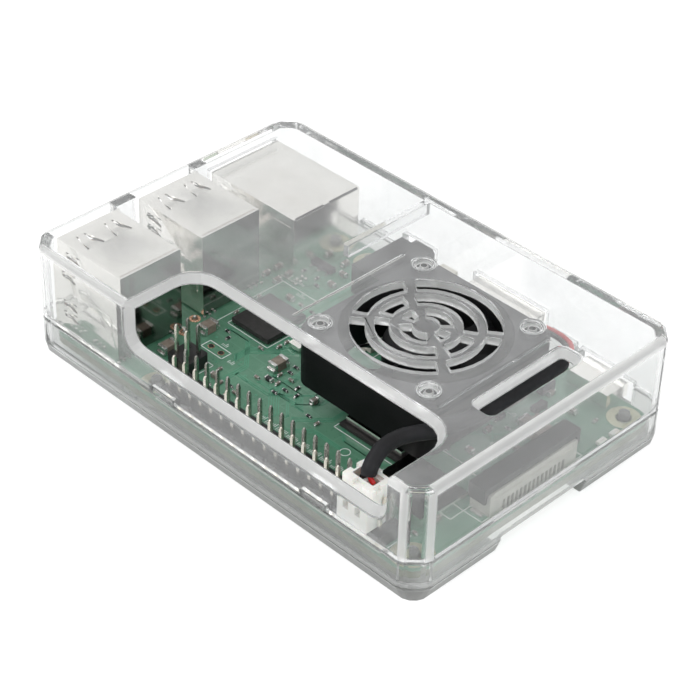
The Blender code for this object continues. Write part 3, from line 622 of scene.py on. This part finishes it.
ink = Shape()
INK_LOW = BOARD_TOP - 0.01
INK_HIGH = BOARD_TOP + 0.045


def ink_line(x0, y0, x1, y1, width=0.16):
    start, end = Vector((x0, y0)), Vector((x1, y1))
    along = (end - start).normalized()
    normal = Vector((-along.y, along.x)) * width / 2
    start, end = start - along * width / 2, end + along * width / 2
    ink.prism([tuple(start - normal), tuple(end - normal), tuple(end + normal), tuple(start + normal)],
              INK_LOW, INK_HIGH)


def ink_box(x, y, half_x, half_y):
    for sign in (-1, 1):
        ink_line(x - half_x, y + sign * half_y, x + half_x, y + sign * half_y)
        ink_line(x + sign * half_x, y - half_y, x + sign * half_x, y + half_y)


def ink_circle(x, y, radius, width=0.14):
    inner = radius - width
    ink.lathe([(radius, INK_LOW), (radius, INK_HIGH), (inner, INK_HIGH), (inner, INK_LOW)], (x, y, 0), 0, 28)


def ink_ticks(x, y, count, pitch, height):
    """A row of short generic marks beside a part."""
    for index in range(count):
        ink_line(x + index * pitch, y, x + index * pitch, y + height * dice.choice([0.45, 0.7, 1.0]), 0.11)

for outline in ((-17.9, -0.6, 5.0, 5.0), (-18.5, -12.25, 2.6, 1.1), (17.64, -4.5, 7.6, 7.6),
                (-18.46, -18.6, 3.0, 3.0), (10.64, -24.5, 25.9, 2.9), (-1.86, 16.5, 3.1, 11.6),
                (38.3, 0.0, 3.0, 11.9), (31.2, -9.6, 6.3, 5.3)):
    ink_box(*outline)
for line in ((-15.8, 1.8, -15.5, 26.5), (-24.6, -8.4, -24.6, 9.2), (-26.2, 9.2, -15.6, 9.2)):
    ink_line(*line)
ink_circle(15.9, -15.4, 0.95)
for index in range(16):
    ink_ticks(-1.0 + index * 1.27, -19.6 + 0.4 * (index % 2), 3, 0.34, 0.8)
for x, y, count in ((-22.5, 10.6, 5), (-20.0, 8.0, 6), (-18.9, -10.6, 4), (-14.6, -13.2, 4),
                    (22.0, -14.8, 6), (27.5, 10.5, 5), (33.0, 15.0, 6), (31.0, 2.5, 5), (5.0, 18.0, 5),
                    (24.0, 20.0, 6)):
    ink_ticks(x, y, count, 0.36, 0.9)
complete(ink.object("board_ink_marks"), [SILK])

small = Shape()
CAPACITOR, METAL, CHIP_BODY, RESISTOR_BODY, SMALL_CAPACITOR = range(5)


def two_ended(x, y, length, width, height, turned=0.0, body_paint=CAPACITOR, fillet=0.3):
    """A two-ended surface-mount part with metal end caps and solder fillets."""
    cap = length * 0.2
    small.block((x, y), (length - 2 * cap, width * 0.98), height * 0.97, turned, BOARD_TOP + 0.03,
                body_paint)
    for sign in (-1, 1):
        middle = beside((x, y), sign * (length - cap) / 2, 0, turned)
        small.block(middle, (cap, width), height, turned, SEAT, METAL)
        foot = beside((x, y), sign * (length + fillet) / 2, 0, turned)
        small.block(foot, (fillet, width * 0.9), height * 0.4, turned, BOARD_TOP, METAL)


def three_legged(x, y, turned=0.0):
    """A small transistor in a three-legged package."""
    small.block((x, y), (2.9, 1.4), 1.0, turned, BOARD_TOP + 0.08, CHIP_BODY)
    for dx, dy in ((-0.95, -1.05), (0.95, -1.05), (0.0, 1.05)):
        small.block(beside((x, y), dx, dy, turned), (0.42, 0.8), 0.22, turned, BOARD_TOP, METAL)


# The middles of the small parts, by length, turn and kind of body.
SMALL_PARTS = {
    ("capacitor", 1.0, 0): [
        (-3.4, -9.0), (-7.9, -12.6), (-7.4, -18.1), (-13.4, -6.6), (-17.0, 6.3), (36.6, -20.8),
        (21.4, -14.2)],
    ("capacitor", 1.0, 90): [
        (-4.3, -11.2), (-5.8, -9.3), (-11.0, -18.0), (-8.0, -19.6), (-13.8, -15.6), (-11.6, -4.0),
        (-11.6, -2.2), (-11.6, 0.6), (-23.8, 2.6), (-23.9, -2.6), (5.6, 9.6), (37.2, 20.2), (35.4, -1.8),
        (26.6, -17.2), (7.8, -13.8)],
    ("capacitor", 1.6, 0): [
        (-12.9, -17.6), (-19.6, 6.2), (-18.4, 18.0), (-17.6, 14.4), (2.6, 8.6), (33.4, 5.2), (31.0, 11.6),
        (33.0, 19.2), (30.2, -1.4), (30.2, -17.6), (24.6, -13.8)],
    ("capacitor", 1.6, 90): [
        (-11.5, 3.0), (-28.0, 8.3), (-25.2, 8.3), (-20.6, 20.6), (4.2, 13.6), (28.6, 4.6), (34.6, 12.8),
        (29.2, 19.4), (36.2, -16.6), (3.4, -10.2)],
    ("resistor", 1.0, 0): [
        (-2.2, -11.5), (-5.4, -5.9), (-3.0, -13.2), (-5.1, -7.6), (-2.2, -7.2), (-9.2, -17.4),
        (-12.2, -19.6), (-10.1, -19.7), (-20.9, -7.4), (-14.2, 6.2), (-19.4, 12.4), (8.2, 8.4), (30.4, 7.4),
        (36.0, 16.2), (33.6, -2.6), (33.4, -17.4), (5.4, -13.4)],
    ("resistor", 1.0, 90): [
        (0.2, -11.2), (-1.2, -9.6), (-19.4, -8.7), (-23.8, 0.2), (-21.0, 14.0), (35.2, 8.2), (27.4, -3.6)],
    ("resistor", 1.6, 0): [
        (-6.1, -11.5)],
}
for (kind, length, turned), middles in SMALL_PARTS.items():
    width = length * (0.5 if length < 1.4 else 0.55)
    height, body = (width * 0.75, RESISTOR_BODY) if kind == "resistor" else (width, SMALL_CAPACITOR)
    for x, y in middles:
        two_ended(x, y, length, width, height, turned, body, 0.14)
for x, y, turned in ((-21.6, 17.2, 0), (30.4, 15.0, 90), (26.8, 8.6, 0)):
    three_legged(x, y, turned)
for x, y in ((-23.4, -9.6), (-23.75, -18.4), (-7.6, -8.0)):
    two_ended(x, y, 3.2, 2.0, 1.68, 90)
two_ended(34.74 - 3.0, 10.2, 2.4, 1.6, 1.2)
complete(small.object("board_small_parts"), [MLCC, TIN, CHIP_BLACK, RESISTOR, SMALL_GREY],
         ("port_capacitor_1", "port_capacitor_2", "header_capacitor"), 0.05, 1)

# -------- chips and larger board parts

chips = Shape()


def chip_legs(centre, half, count, pitch, reach, lift):
    """Short tinned legs along the four sides of a square chip."""
    width = pitch * 0.45
    for index in range(count):
        offset = (index - (count - 1) / 2) * pitch
        for out in (-(half + reach / 2), half + reach / 2):
            chips.block((centre[0] + offset, centre[1] + out), (width, reach), lift)
            chips.block((centre[0] + out, centre[1] + offset), (reach, width), lift)


chip_legs((-17.86, -0.6), 4.5, 16, 0.5, 0.22, 0.12)
chip_legs((23.14, 14.0), 2.5, 8, 0.5, 0.25, 0.12)
complete(chips.object("chip_legs"), [TIN])

marks = Shape()
marks.lathe([(0.32, 5.86), (0.32, 5.912), (0.0001, 5.912)], (-21.3, 2.8, 0), 0, 20)
for offset in (-0.75, 0.0, 0.75):
    marks.box(-18.6 + offset, -18.25 + offset, -1.6, 0.4, 5.88, 5.91)
complete(marks.object("chip_marks"), [FERRITE])

REPAINTED = (
    (STEEL, 0.3, "processor_heat_spreader clock_crystal hdmi_shell"),
    (STEEL, 0.25, "wireless_shield power_socket_shell"),
    (FERRITE, 0.25, "power_inductor_1 power_inductor_2"),
    (BLACK_PLASTIC, 0.2, "audio_jack"),
    (MLCC, 0.15, "input_capacitor"),
    (NYLON, 0.15, "usb_outer_lower_tongue usb_outer_upper_tongue"),
    (NYLON, 0.15, "usb_middle_lower_tongue usb_middle_upper_tongue"),
    (CHIP_BLACK, 0.12, "usb_ethernet_chip memory_chip"),
    (STEEL, 0.12, "card_socket"),
    (CHIP_BLACK, 0.1, "processor_package power_chip"),
    (NYLON, 0.1, "power_light activity_light"),
    (BLACK_PLASTIC, 0.1, "hdmi_tongue ethernet_contact_comb"),
    (BLACK_PLASTIC, 0.08, "power_socket_tongue"),
    (GOLD, 0.05, "plug_ground_contact plug_supply_contact"),
)
for material, bevel, names in REPAINTED:
    for name in names.split():
        repaint(name, material, bevel)

# -------- pin headers

PITCH = 2.54
PIN_TOP = 13.2
STRIP_TOP = 7.24
NOTCH = 0.42


def pin_header(name, centre, columns, replaced):
    """A notched plastic strip with two rows of square, pointed pins and their soldered tails."""
    shape = Shape()
    low, high = centre[1] - PITCH, centre[1] + PITCH
    near, far = [], []
    for column in range(columns):
        left = centre[0] + (column - columns / 2) * PITCH
        near += [(left, low + NOTCH), (left + NOTCH, low), (left + PITCH - NOTCH, low)]
        far += [(left, high - NOTCH), (left + NOTCH, high), (left + PITCH - NOTCH, high)]
    end = centre[0] + columns / 2 * PITCH
    near.append((end, low + NOTCH))
    far.append((end, high - NOTCH))
    shape.prism(near + far[::-1], SEAT, STRIP_TOP, 0)
    for column in range(columns):
        x = centre[0] + (column - (columns - 1) / 2) * PITCH
        # The far row takes the darker plating as painted shade.
        for y, paint in ((low + PITCH / 2, 1), (high - PITCH / 2, 3)):
            shape.loft([[(x - s, y - s, z), (x + s, y - s, z), (x + s, y + s, z), (x - s, y + s, z)]
                        for s, z in ((0.28, 1.9), (0.3, 2.3), (0.3, 12.6), (0.16, PIN_TOP))], paint)
            shape.lathe([(0.85, 0.01), (0.8, -0.12), (0.42, -0.8), (0.33, -1.1)], (x, y, BOARD_UNDER), 2, 12)
    complete(shape.object(name), [BLACK_PLASTIC, PIN_METAL, TIN, PIN_PAINTED_SHADE],
             (replaced,), 0.05, 1)


pin_header("pin_header_main", (10.64, -24.5), 20, "gpio_header")
pin_header("pin_header_small", (-18.46, -18.6), 2, "poe_header")

# -------- USB and network sockets

USB_FACE = -43.26
USB_BACK = -26.96
USB_TOP = 20.3
USB_HALF = 6.55
USB_MOUTHS = ((6.1, 11.3), (14.0, 19.8))
USB_MOUTH_HALF = 6.0
USB_MOUTH_BACK = USB_FACE + 11.5
# Lines pressed into the shell's sides, as x from the face and z.
USB_GROOVES = ((9.2, 11.4, 12.2, 12.45), (7.0, 8.4, 12.9, 13.1), (14.6, 14.9, 9.4, 13.4))
# How deep a spring finger lies below its wall, from root to tip.
SPRING_DEPTHS = (0.14, 0.24, 0.4, 0.58, 0.62, 0.36, -0.06)


def spring(shape, tools, root, across, inward, length, width):
    """A bent spring finger in a slot of a sheet-metal wall, pointing at the socket's mouth."""
    root, along, across, inward = Vector(root), Vector((-1, 0, 0)), Vector(across), Vector(inward)
    slot = Shape()
    near, far = root - along * 0.2, root + along * (length - 0.35)
    slot.loft([[end - across * half - inward, end + across * half - inward, end + across * half + inward,
                end - across * half + inward]
               for end, half in ((near, width * 0.5 + 0.42), (far, width * 0.2 + 0.4))])
    tools.append(slot.object("slot"))
    last = len(SPRING_DEPTHS) - 1
    line = [root - along * 0.3 + along * (length + 0.2) * i / last + inward * depth
            for i, depth in enumerate(SPRING_DEPTHS)]
    shape.strip(line, across, [width * (1.0 - 0.6 * i / last) for i in range(last + 1)], 0.28, 0)


def usb_socket(name, middle, replaced):
    """A stacked pair of USB mouths in one stamped shell."""
    shell = Shape()
    shell.loft([[(x, middle + sy * (USB_HALF + flare), z) for sy, z in
                 ((-1, BOARD_TOP + 0.3 - flare), (1, BOARD_TOP + 0.3 - flare), (1, USB_TOP + flare),
                  (-1, USB_TOP + flare))]
                for x, flare in ((USB_FACE, 0.22), (USB_FACE + 0.25, 0.16), (USB_FACE + 0.8, 0.0),
                                 (USB_BACK, 0.0))])
    thing = shell.object(name)
    tools = []
    fingers = Shape()
    contacts = Shape()
    for low, high in USB_MOUTHS:
        tools.append(box_piece("mouth", USB_FACE - 1, USB_MOUTH_BACK, middle - USB_MOUTH_HALF,
                               middle + USB_MOUTH_HALF, low, high))
        centre = (low + high) / 2
        for sign in (-1, 1):
            for lift in (-1.15, 1.15):
                spring(fingers, tools, (USB_FACE + 5.4, middle + sign * USB_HALF, centre + lift), (0, 0, 1),
                       (0, -sign, 0), 3.6, 0.9)
        for column in range(4):
            y = middle + (column - 1.5) * 2.3
            contacts.box(USB_FACE + 3.2, USB_MOUTH_BACK, y - 0.5, y + 0.5, centre - 0.02, centre + 0.12)
    for offset in (-3.0, 3.0):
        spring(fingers, tools, (USB_FACE + 5.8, middle + offset, USB_TOP), (0, 1, 0), (0, 0, -1), 4.4, 2.9)
    for y in (middle - USB_HALF, middle + USB_HALF):
        for x0, x1, z0, z1 in USB_GROOVES:
            tools.append(box_piece("groove", USB_FACE + x0, USB_FACE + x1, y - 0.14, y + 0.14, z0, z1))
    tools.append(box_piece("fold", USB_BACK - 0.8, USB_BACK - 0.58, middle - USB_HALF + 0.5,
                           middle + USB_HALF - 0.5, USB_TOP - 0.2, USB_TOP + 0.2))
    carve(thing, *tools)
    # Painted shade inside the mouths.
    paint_inside(thing, (USB_FACE + 0.5, middle - USB_MOUTH_HALF - 0.05, 6.0),
                 (USB_MOUTH_BACK + 0.5, middle + USB_MOUTH_HALF + 0.05, 19.85), 1)
    # Painted shade on the back face, the one towards the board.
    paint_inside(thing, (USB_BACK - 0.02, middle - 8, 4), (USB_BACK + 0.02, middle + 8, 21), 2)
    complete(thing, [STEEL, DARK_STEEL, STEEL_PAINTED_SHADE], (replaced,), 0.12)
    complete(fingers.object(name + "_springs"), [STEEL], (), 0.03, 1)
    complete(contacts.object(name + "_contacts"), [GOLD])


usb_socket("usb_outer_socket", -19.0, "usb_outer_shell")
usb_socket("usb_middle_socket", -1.0, "usb_middle_shell")

JACK_FACE = -43.96
JACK_BACK = -22.66
JACK_TOP = 18.2
JACK_MIDDLE = 17.75
JACK_HALF = 8.0
# The bent line along each side, as x and z.
JACK_SEAM = [(-42.5, 17.1), (-38.6, 16.9), (-37.6, 15.6), (-36.4, 15.2), (-29.2, 15.2), (-27.8, 16.3),
             (-23.4, 16.3)]
JACK_SLITS = ((10.2, 17.0), (18.4, 25.3))
JACK_WINDOWS = ((11.0, 14.4), (21.1, 24.5))
jack_shell = box_piece("network_socket", JACK_FACE, JACK_BACK, JACK_MIDDLE - JACK_HALF,
                       JACK_MIDDLE + JACK_HALF, SEAT, JACK_TOP)
jack_springs = Shape()
tools = [box_piece("mouth", JACK_FACE - 1, JACK_FACE + depth, JACK_MIDDLE - half, JACK_MIDDLE + half, low,
                   high) for depth, half, low, high in ((13, 5.9, 8.6, 16.0), (9, 3.1, 6.2, 8.7))]
for sign in (-1, 1):
    y = JACK_MIDDLE + sign * JACK_HALF
    for z in (8.4, 13.6):
        spring(jack_springs, tools, (JACK_FACE + 5.6, y, z), (0, 0, 1), (0, -sign, 0), 4.0, 1.3)
    for ends in zip(JACK_SEAM, JACK_SEAM[1:]):
        seam = Shape()
        seam.loft([[(x, y + dy, z + dz)
                    for dy, dz in ((-0.1, -0.06), (0.1, -0.06), (0.1, 0.06), (-0.1, 0.06))]
                   for x, z in ends])
        tools.append(seam.object("seam"))
for y0, y1 in JACK_SLITS:
    tools.append(box_piece("slit", JACK_BACK - 0.3, JACK_BACK + 0.2, y0, y1, JACK_TOP - 0.36,
                           JACK_TOP + 0.2))
for y0, y1 in JACK_WINDOWS:
    tools.append(box_piece("window", JACK_FACE - 1, JACK_FACE + 1.2, y0, y1, 16.3, 17.6))
carve(jack_shell, *tools)
# Painted shade on the walls of the slits.
for y0, y1 in JACK_SLITS:
    paint_inside(jack_shell, (JACK_BACK - 0.31, y0 + 0.1, JACK_TOP - 0.37),
                 (JACK_BACK - 0.01, y1 - 0.1, JACK_TOP - 0.01), 1)
complete(jack_shell, [STEEL, DARK_STEEL], ("ethernet_shell",), 0.15)
complete(jack_springs.object("network_socket_springs"), [STEEL], (), 0.03, 1)
lenses = Shape()
for paint, (y0, y1) in enumerate(JACK_WINDOWS):
    lenses.box(JACK_FACE + 0.15, JACK_FACE + 1.1, y0 + 0.1, y1 - 0.1, 16.35, 17.55, paint)
complete(lenses.object("network_socket_lenses"), [LENS_GREEN, LENS_YELLOW], (), 0.08)
wires = Shape()
for index in range(8):
    y = JACK_MIDDLE + (index - 3.5) * 1.02
    wires.strip([(JACK_FACE + reach, y, z) for reach, z in ((12.4, 11.6), (8.5, 13.2), (4.6, 14.7))],
                (0, 1, 0), 0.42, 0.16)
complete(wires.object("network_socket_contacts"), [GOLD])

# -------- flat-cable connectors


def cable_connector(name, x, y, inner_side, body_material, latch_material):
    """An upright flat-cable connector: body with feet and contacts, and its lift-up latch."""
    def across(middle, half):
        return x + inner_side * middle - half, x + inner_side * middle + half

    thing = box_piece(f"{name}_socket", *across(0, 2.1), y - 10.3, y + 10.3, SEAT, 8.9)
    tools = [box_piece("slot", *across(0, 0.8), y - 8.6, y + 8.6, 6.2, 12)]
    contacts = Shape()
    for index in range(15):
        offset = y + (index - 7)
        tools.append(box_piece("groove", *across(1.9, 0.5), offset - 0.27, offset + 0.27, 3.9, 6.7))
        contacts.box(*across(1.6, 0.1), offset - 0.13, offset + 0.13, 5.2, 6.4)
        contacts.box(*across(2.3, 0.65), offset - 0.15, offset + 0.15, BOARD_TOP, BOARD_TOP + 0.3)
    tools.append(box_piece("ledge", *across(2.3, 0.4), y - 9.4, y + 9.4, 7.9, 12))
    carve(thing, *tools)
    complete(thing, [body_material], (f"{name}_connector",), 0.1)
    for foot in (y - 10.8, y + 10.8):
        contacts.box(*across(0, 1.2), foot - 0.5, foot + 0.5, BOARD_TOP, BOARD_TOP + 0.4)
    complete(contacts.object(f"{name}_contacts"), [TIN], (), 0.04, 1)
    repaint(f"{name}_latch", latch_material, 0.25)


cable_connector("display", 39.34, 0.0, 1, PALE_GREY, BLACK_PLASTIC)
cable_connector("camera", -1.86, 16.5, -1, CREAM, CREAM)

# -------- fan

FAN_X = 16.7
FAN_Y = 1.5
FAN_CENTRE = (FAN_X, FAN_Y, 0)
FAN_HALF = 15
FAN_HOLE = 12
FAN_LOW = 10.3
FAN_HIGH = 20.3
housing = Shape()
housing.loft([[(x, y, z) for x, y in rounded(FAN_X - FAN_HALF + inset, FAN_X + FAN_HALF - inset,
                                             FAN_Y - FAN_HALF + inset, FAN_Y + FAN_HALF - inset, 3.0, 8)]
              for z, inset in ((FAN_LOW, 0.35), (FAN_LOW + 0.35, 0.0), (FAN_HIGH - 0.35, 0.0),
                               (FAN_HIGH, 0.35))])
frame_piece = housing.object("fan_housing")
tools = [round_piece("bore", [(14.2, FAN_LOW - 0.5), (13.8, FAN_LOW + 0.6), (13.8, FAN_HIGH - 0.8),
                              (14.4, FAN_HIGH + 0.4)], FAN_CENTRE, 72)]
for dx, dy in ((-FAN_HOLE, -FAN_HOLE), (-FAN_HOLE, FAN_HOLE), (FAN_HOLE, -FAN_HOLE), (FAN_HOLE, FAN_HOLE)):
    tools.append(round_piece("hole", [(1.6, FAN_LOW - 1), (1.6, FAN_HIGH + 1)],
                             (FAN_X + dx, FAN_Y + dy, 0), 24))
carve(frame_piece, *tools)
joined = [round_piece("plate", [(7.0, 0.02), (7.0, 1.4), (6.7, 1.6)], (FAN_X, FAN_Y, FAN_LOW), 40)]
for angle in (45, 135, 225, 315):
    strut = Shape()
    heading = Vector((*polar(angle), 0))
    centre = Vector((FAN_X, FAN_Y, FAN_LOW + 0.62))
    strut.strip([centre + heading * 4, centre + heading * 14.1], (-heading.y, heading.x, 0), 1.6, 1.15)
    joined.append(strut.object("strut"))
carve(frame_piece, *joined, operation="UNION")
paint_inside(frame_piece, (FAN_X - FAN_HALF, FAN_Y - FAN_HALF, FAN_HIGH - 0.02),
             (FAN_X + FAN_HALF, FAN_Y + FAN_HALF, FAN_HIGH + 0.02), 1)
complete(frame_piece, [FAN_BLACK, FAN_TOP], ("fan_frame",), 0.12, body="lid")

ROTOR_LOW = 12.2
ROTOR_HIGH = 19.5
BLADES = 7
BLADE_STEPS = 6
# Each blade's cross sections from hub to tip, as radius, room above and below, and how far it is swept.
BLADE_SECTIONS = ((6.7, 0.55, 0), (8.6, 0.62, 2.5), (10.4, 0.75, 6), (12.0, 0.9, 9.5), (13.2, 1.05, 13))
blades = Shape()
blades.lathe([(6.6, ROTOR_LOW), (7.0, ROTOR_LOW + 0.3), (7.0, ROTOR_HIGH - 0.9), (6.75, ROTOR_HIGH - 0.3),
              (6.1, ROTOR_HIGH), (5.2, ROTOR_HIGH), (5.1, ROTOR_HIGH - 0.12), (0.6, ROTOR_HIGH - 0.12)],
             FAN_CENTRE, 0, 48)
for blade in range(BLADES):
    sections = []
    for radius, lift, sweep in BLADE_SECTIONS:
        upper, lower = [], []
        for step in range(BLADE_STEPS + 1):
            t = step / BLADE_STEPS
            dx, dy = polar(360 / BLADES * blade + sweep - 21 + 42 * t, radius)
            height = ROTOR_LOW + lift + (ROTOR_HIGH - ROTOR_LOW - 2 * lift) * (t ** 0.85)
            thick = 0.16 + 0.75 * math.sin(math.pi * min(1.0, 0.15 + 0.8 * (1 - t)))
            upper.append((FAN_X + dx, FAN_Y + dy, height))
            lower.append((FAN_X + dx, FAN_Y + dy, height - thick * 0.8))
        sections.append(upper + lower[::-1])
    blades.loft(sections)
complete(blades.object("fan_blades"), [FAN_BLACK], ("fan_rotor",), angle=50,
         body="fan_rotor")

# -------- fan lead and plug

# The lead's centre line from plug to fan, and the angle at which its two wires lie side by side.
LEAD_PATH = [
    (30.96, -25.77, 14.2, 0), (30.96, -25.6, 15.8, 0), (30.5, -24.0, 17.1, 12), (30.1, -21.6, 17.9, 5),
    (30.5, -18.6, 18.3, -10), (31.9, -15.6, 18.4, -27), (33.6, -12.6, 18.3, -27), (34.8, -9.0, 18.1, -12),
    (35.1, -4.0, 18.0, 0), (35.1, 4.0, 18.0, 0), (35.0, 12.0, 18.0, 2), (34.6, 15.0, 17.9, 15),
    (33.2, 17.6, 17.8, 45), (30.6, 18.6, 17.7, 80), (27.2, 18.8, 17.4, 96), (24.4, 18.5, 17.0, 120),
    (22.6, 17.7, 16.6, 150), (21.9, 17.25, 16.4, 160)]
WIRE_RADIUS = 0.42
WIRE_SPREAD = 0.47
SLEEVE_RADIUS = 1.3
SLEEVE_START = 15.0
SLEEVE_END_Y = 14.8
SLEEVE_SIDES = 24
SLEEVE_LIP = 0.8


def smooth_path(points, steps):
    """Catmull-Rom samples through the points."""
    samples = []
    for index in range(len(points) - 1):
        before = Vector(points[max(index - 1, 0)])
        start = Vector(points[index])
        end = Vector(points[index + 1])
        after = Vector(points[min(index + 2, len(points) - 1)])
        for step in range(steps):
            t = step / steps
            square = 2 * before - 5 * start + 4 * end - after
            cube = 3 * start - 3 * end + after - before
            samples.append(0.5 * (2 * start + (end - before) * t + square * t * t + cube * t * t * t))
    samples.append(Vector(points[-1]))
    return samples


lead = smooth_path(LEAD_PATH, 4)


def wire(name, side, material, replaced):
    """One of the lead's wires along its path; below the sleeve the two part towards the plug's contacts."""
    line = []
    for x, y, z, angle in lead:
        spread = WIRE_SPREAD
        if z < SLEEVE_START and y < 0:
            spread += (PITCH / 2 - WIRE_SPREAD) * (SLEEVE_START - z) / (SLEEVE_START - LEAD_PATH[0][2])
        dx, dy = polar(angle, side * spread)
        line.append(Vector((x + dx, y + dy, z)) * MM)
    data = bpy.data.curves.new(name, "CURVE")
    data.dimensions = "3D"
    data.bevel_depth = WIRE_RADIUS * MM
    data.bevel_resolution = 4
    data.use_fill_caps = True
    spline = data.splines.new("POLY")
    spline.points.add(len(line) - 1)
    for target, point in zip(spline.points, line):
        target.co = (*point, 1)
    data.materials.append(material)
    thing = bpy.data.objects.new(name, data)
    scene.collection.objects.link(thing)
    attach(thing, "lid")
    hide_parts(replaced)
    return thing, line


covered = [sample.to_3d() for sample in lead if sample[2] > SLEEVE_START and sample[1] < SLEEVE_END_Y]
sleeve = Shape()
rings = []
for index, centre in enumerate(covered):
    direction = (covered[min(index + 1, len(covered) - 1)] - covered[max(index - 1, 0)]).normalized()
    across = direction.cross(Vector((1, 0.05, 0.02))).normalized()
    upward = across.cross(direction).normalized()
    radius = SLEEVE_RADIUS - (0.12 if index in (0, len(covered) - 1) else 0.0)
    radius *= 1.0 + 0.018 * math.sin(index * 1.9) + 0.012 * math.sin(index * 0.7 + 1.3)
    turns = [polar(360 * i / SLEEVE_SIDES, radius) for i in range(SLEEVE_SIDES)]
    rings.append([centre + across * a + upward * b for a, b in turns])
lips = [[covered[end] + (point - covered[end]) * SLEEVE_LIP for point in rings[end]] for end in (0, -1)]
sleeve.loft(lips[:1] + rings + lips[1:])
sleeve_piece = complete(sleeve.object("lead_sleeve_tube"), [SLEEVING], ("lead_sleeve",),
                        body="lid")

PLUG_X = 30.96
PLUG_Y = -25.77
PLUG_LOW = 7.54
PLUG_TOP = 15.1
# Steps in the plug's top, as x from its middle, y and depth.
PLUG_RECESSES = ((-2.2, 2.2, -26.9, -24.4, 0.55), (-0.9, 1.1, -29.0, -27.0, 0.8),
                 (-3.6, -2.5, -26.2, -24.9, 0.9), (2.6, 3.6, -27.4, -26.0, 0.9))
plug = Shape()
plug.loft([[(x, y, z) for x, y in rounded(PLUG_X - 3.3, PLUG_X + 3.3, -28.15, -23.75, 0.35, 3)]
           for z in (PLUG_LOW, PLUG_TOP)])
plug_piece = plug.object("lead_plug_housing")
carve(plug_piece, *[box_piece("key", x - 0.6, x + 0.6, -24.5, -23.2, PLUG_LOW + 1.5, PLUG_TOP)
                    for x in (PLUG_X - 2.6, PLUG_X)], operation="UNION")
tools = []
for x in (PLUG_X - PITCH / 2, PLUG_X + PITCH / 2):
    tools += [box_piece("hollow", x - 0.95, x + 0.95, PLUG_Y - 0.95, PLUG_Y + 0.95, PLUG_LOW - 1,
                        PLUG_TOP + 1),
              box_piece("window", x - 0.55, x + 0.55, -29, -26.2, PLUG_LOW + 2.2, PLUG_LOW + 4.4)]
for x0, x1, y0, y1, depth in PLUG_RECESSES:
    tools.append(box_piece("recess", PLUG_X + x0, PLUG_X + x1, y0, y1, PLUG_TOP - depth, PLUG_TOP + 1))
carve(plug_piece, *tools)
complete(plug_piece, [NYLON], ("lead_plug",), 0.14, body="lid")

for name, side, material, slot, replaced in (
        ("lead_wire_red", 1, RED_WIRE, "red_wire", "fan_wire_red"),
        ("lead_wire_black", -1, BLACK_WIRE, "black_plastic", "fan_wire_black")):
    thing, line = wire(name, side, material, replaced)

# -------- floor

floor_shape = Shape()
floor_shape.box(-2500, 2500, -2500, 2500, -8, -0.02)
floor = floor_shape.object("floor")
floor_material = surface("pale_floor", (0.72, 0.72, 0.72, 1), (0.74, 0.74, 0.74, 1), 60.0, (0.7, 0.8),
                         0.0, 0.0, 0.3, Emission_Color=(1, 1, 1, 1), Emission_Strength=0.52)
floor.data.materials.append(floor_material)
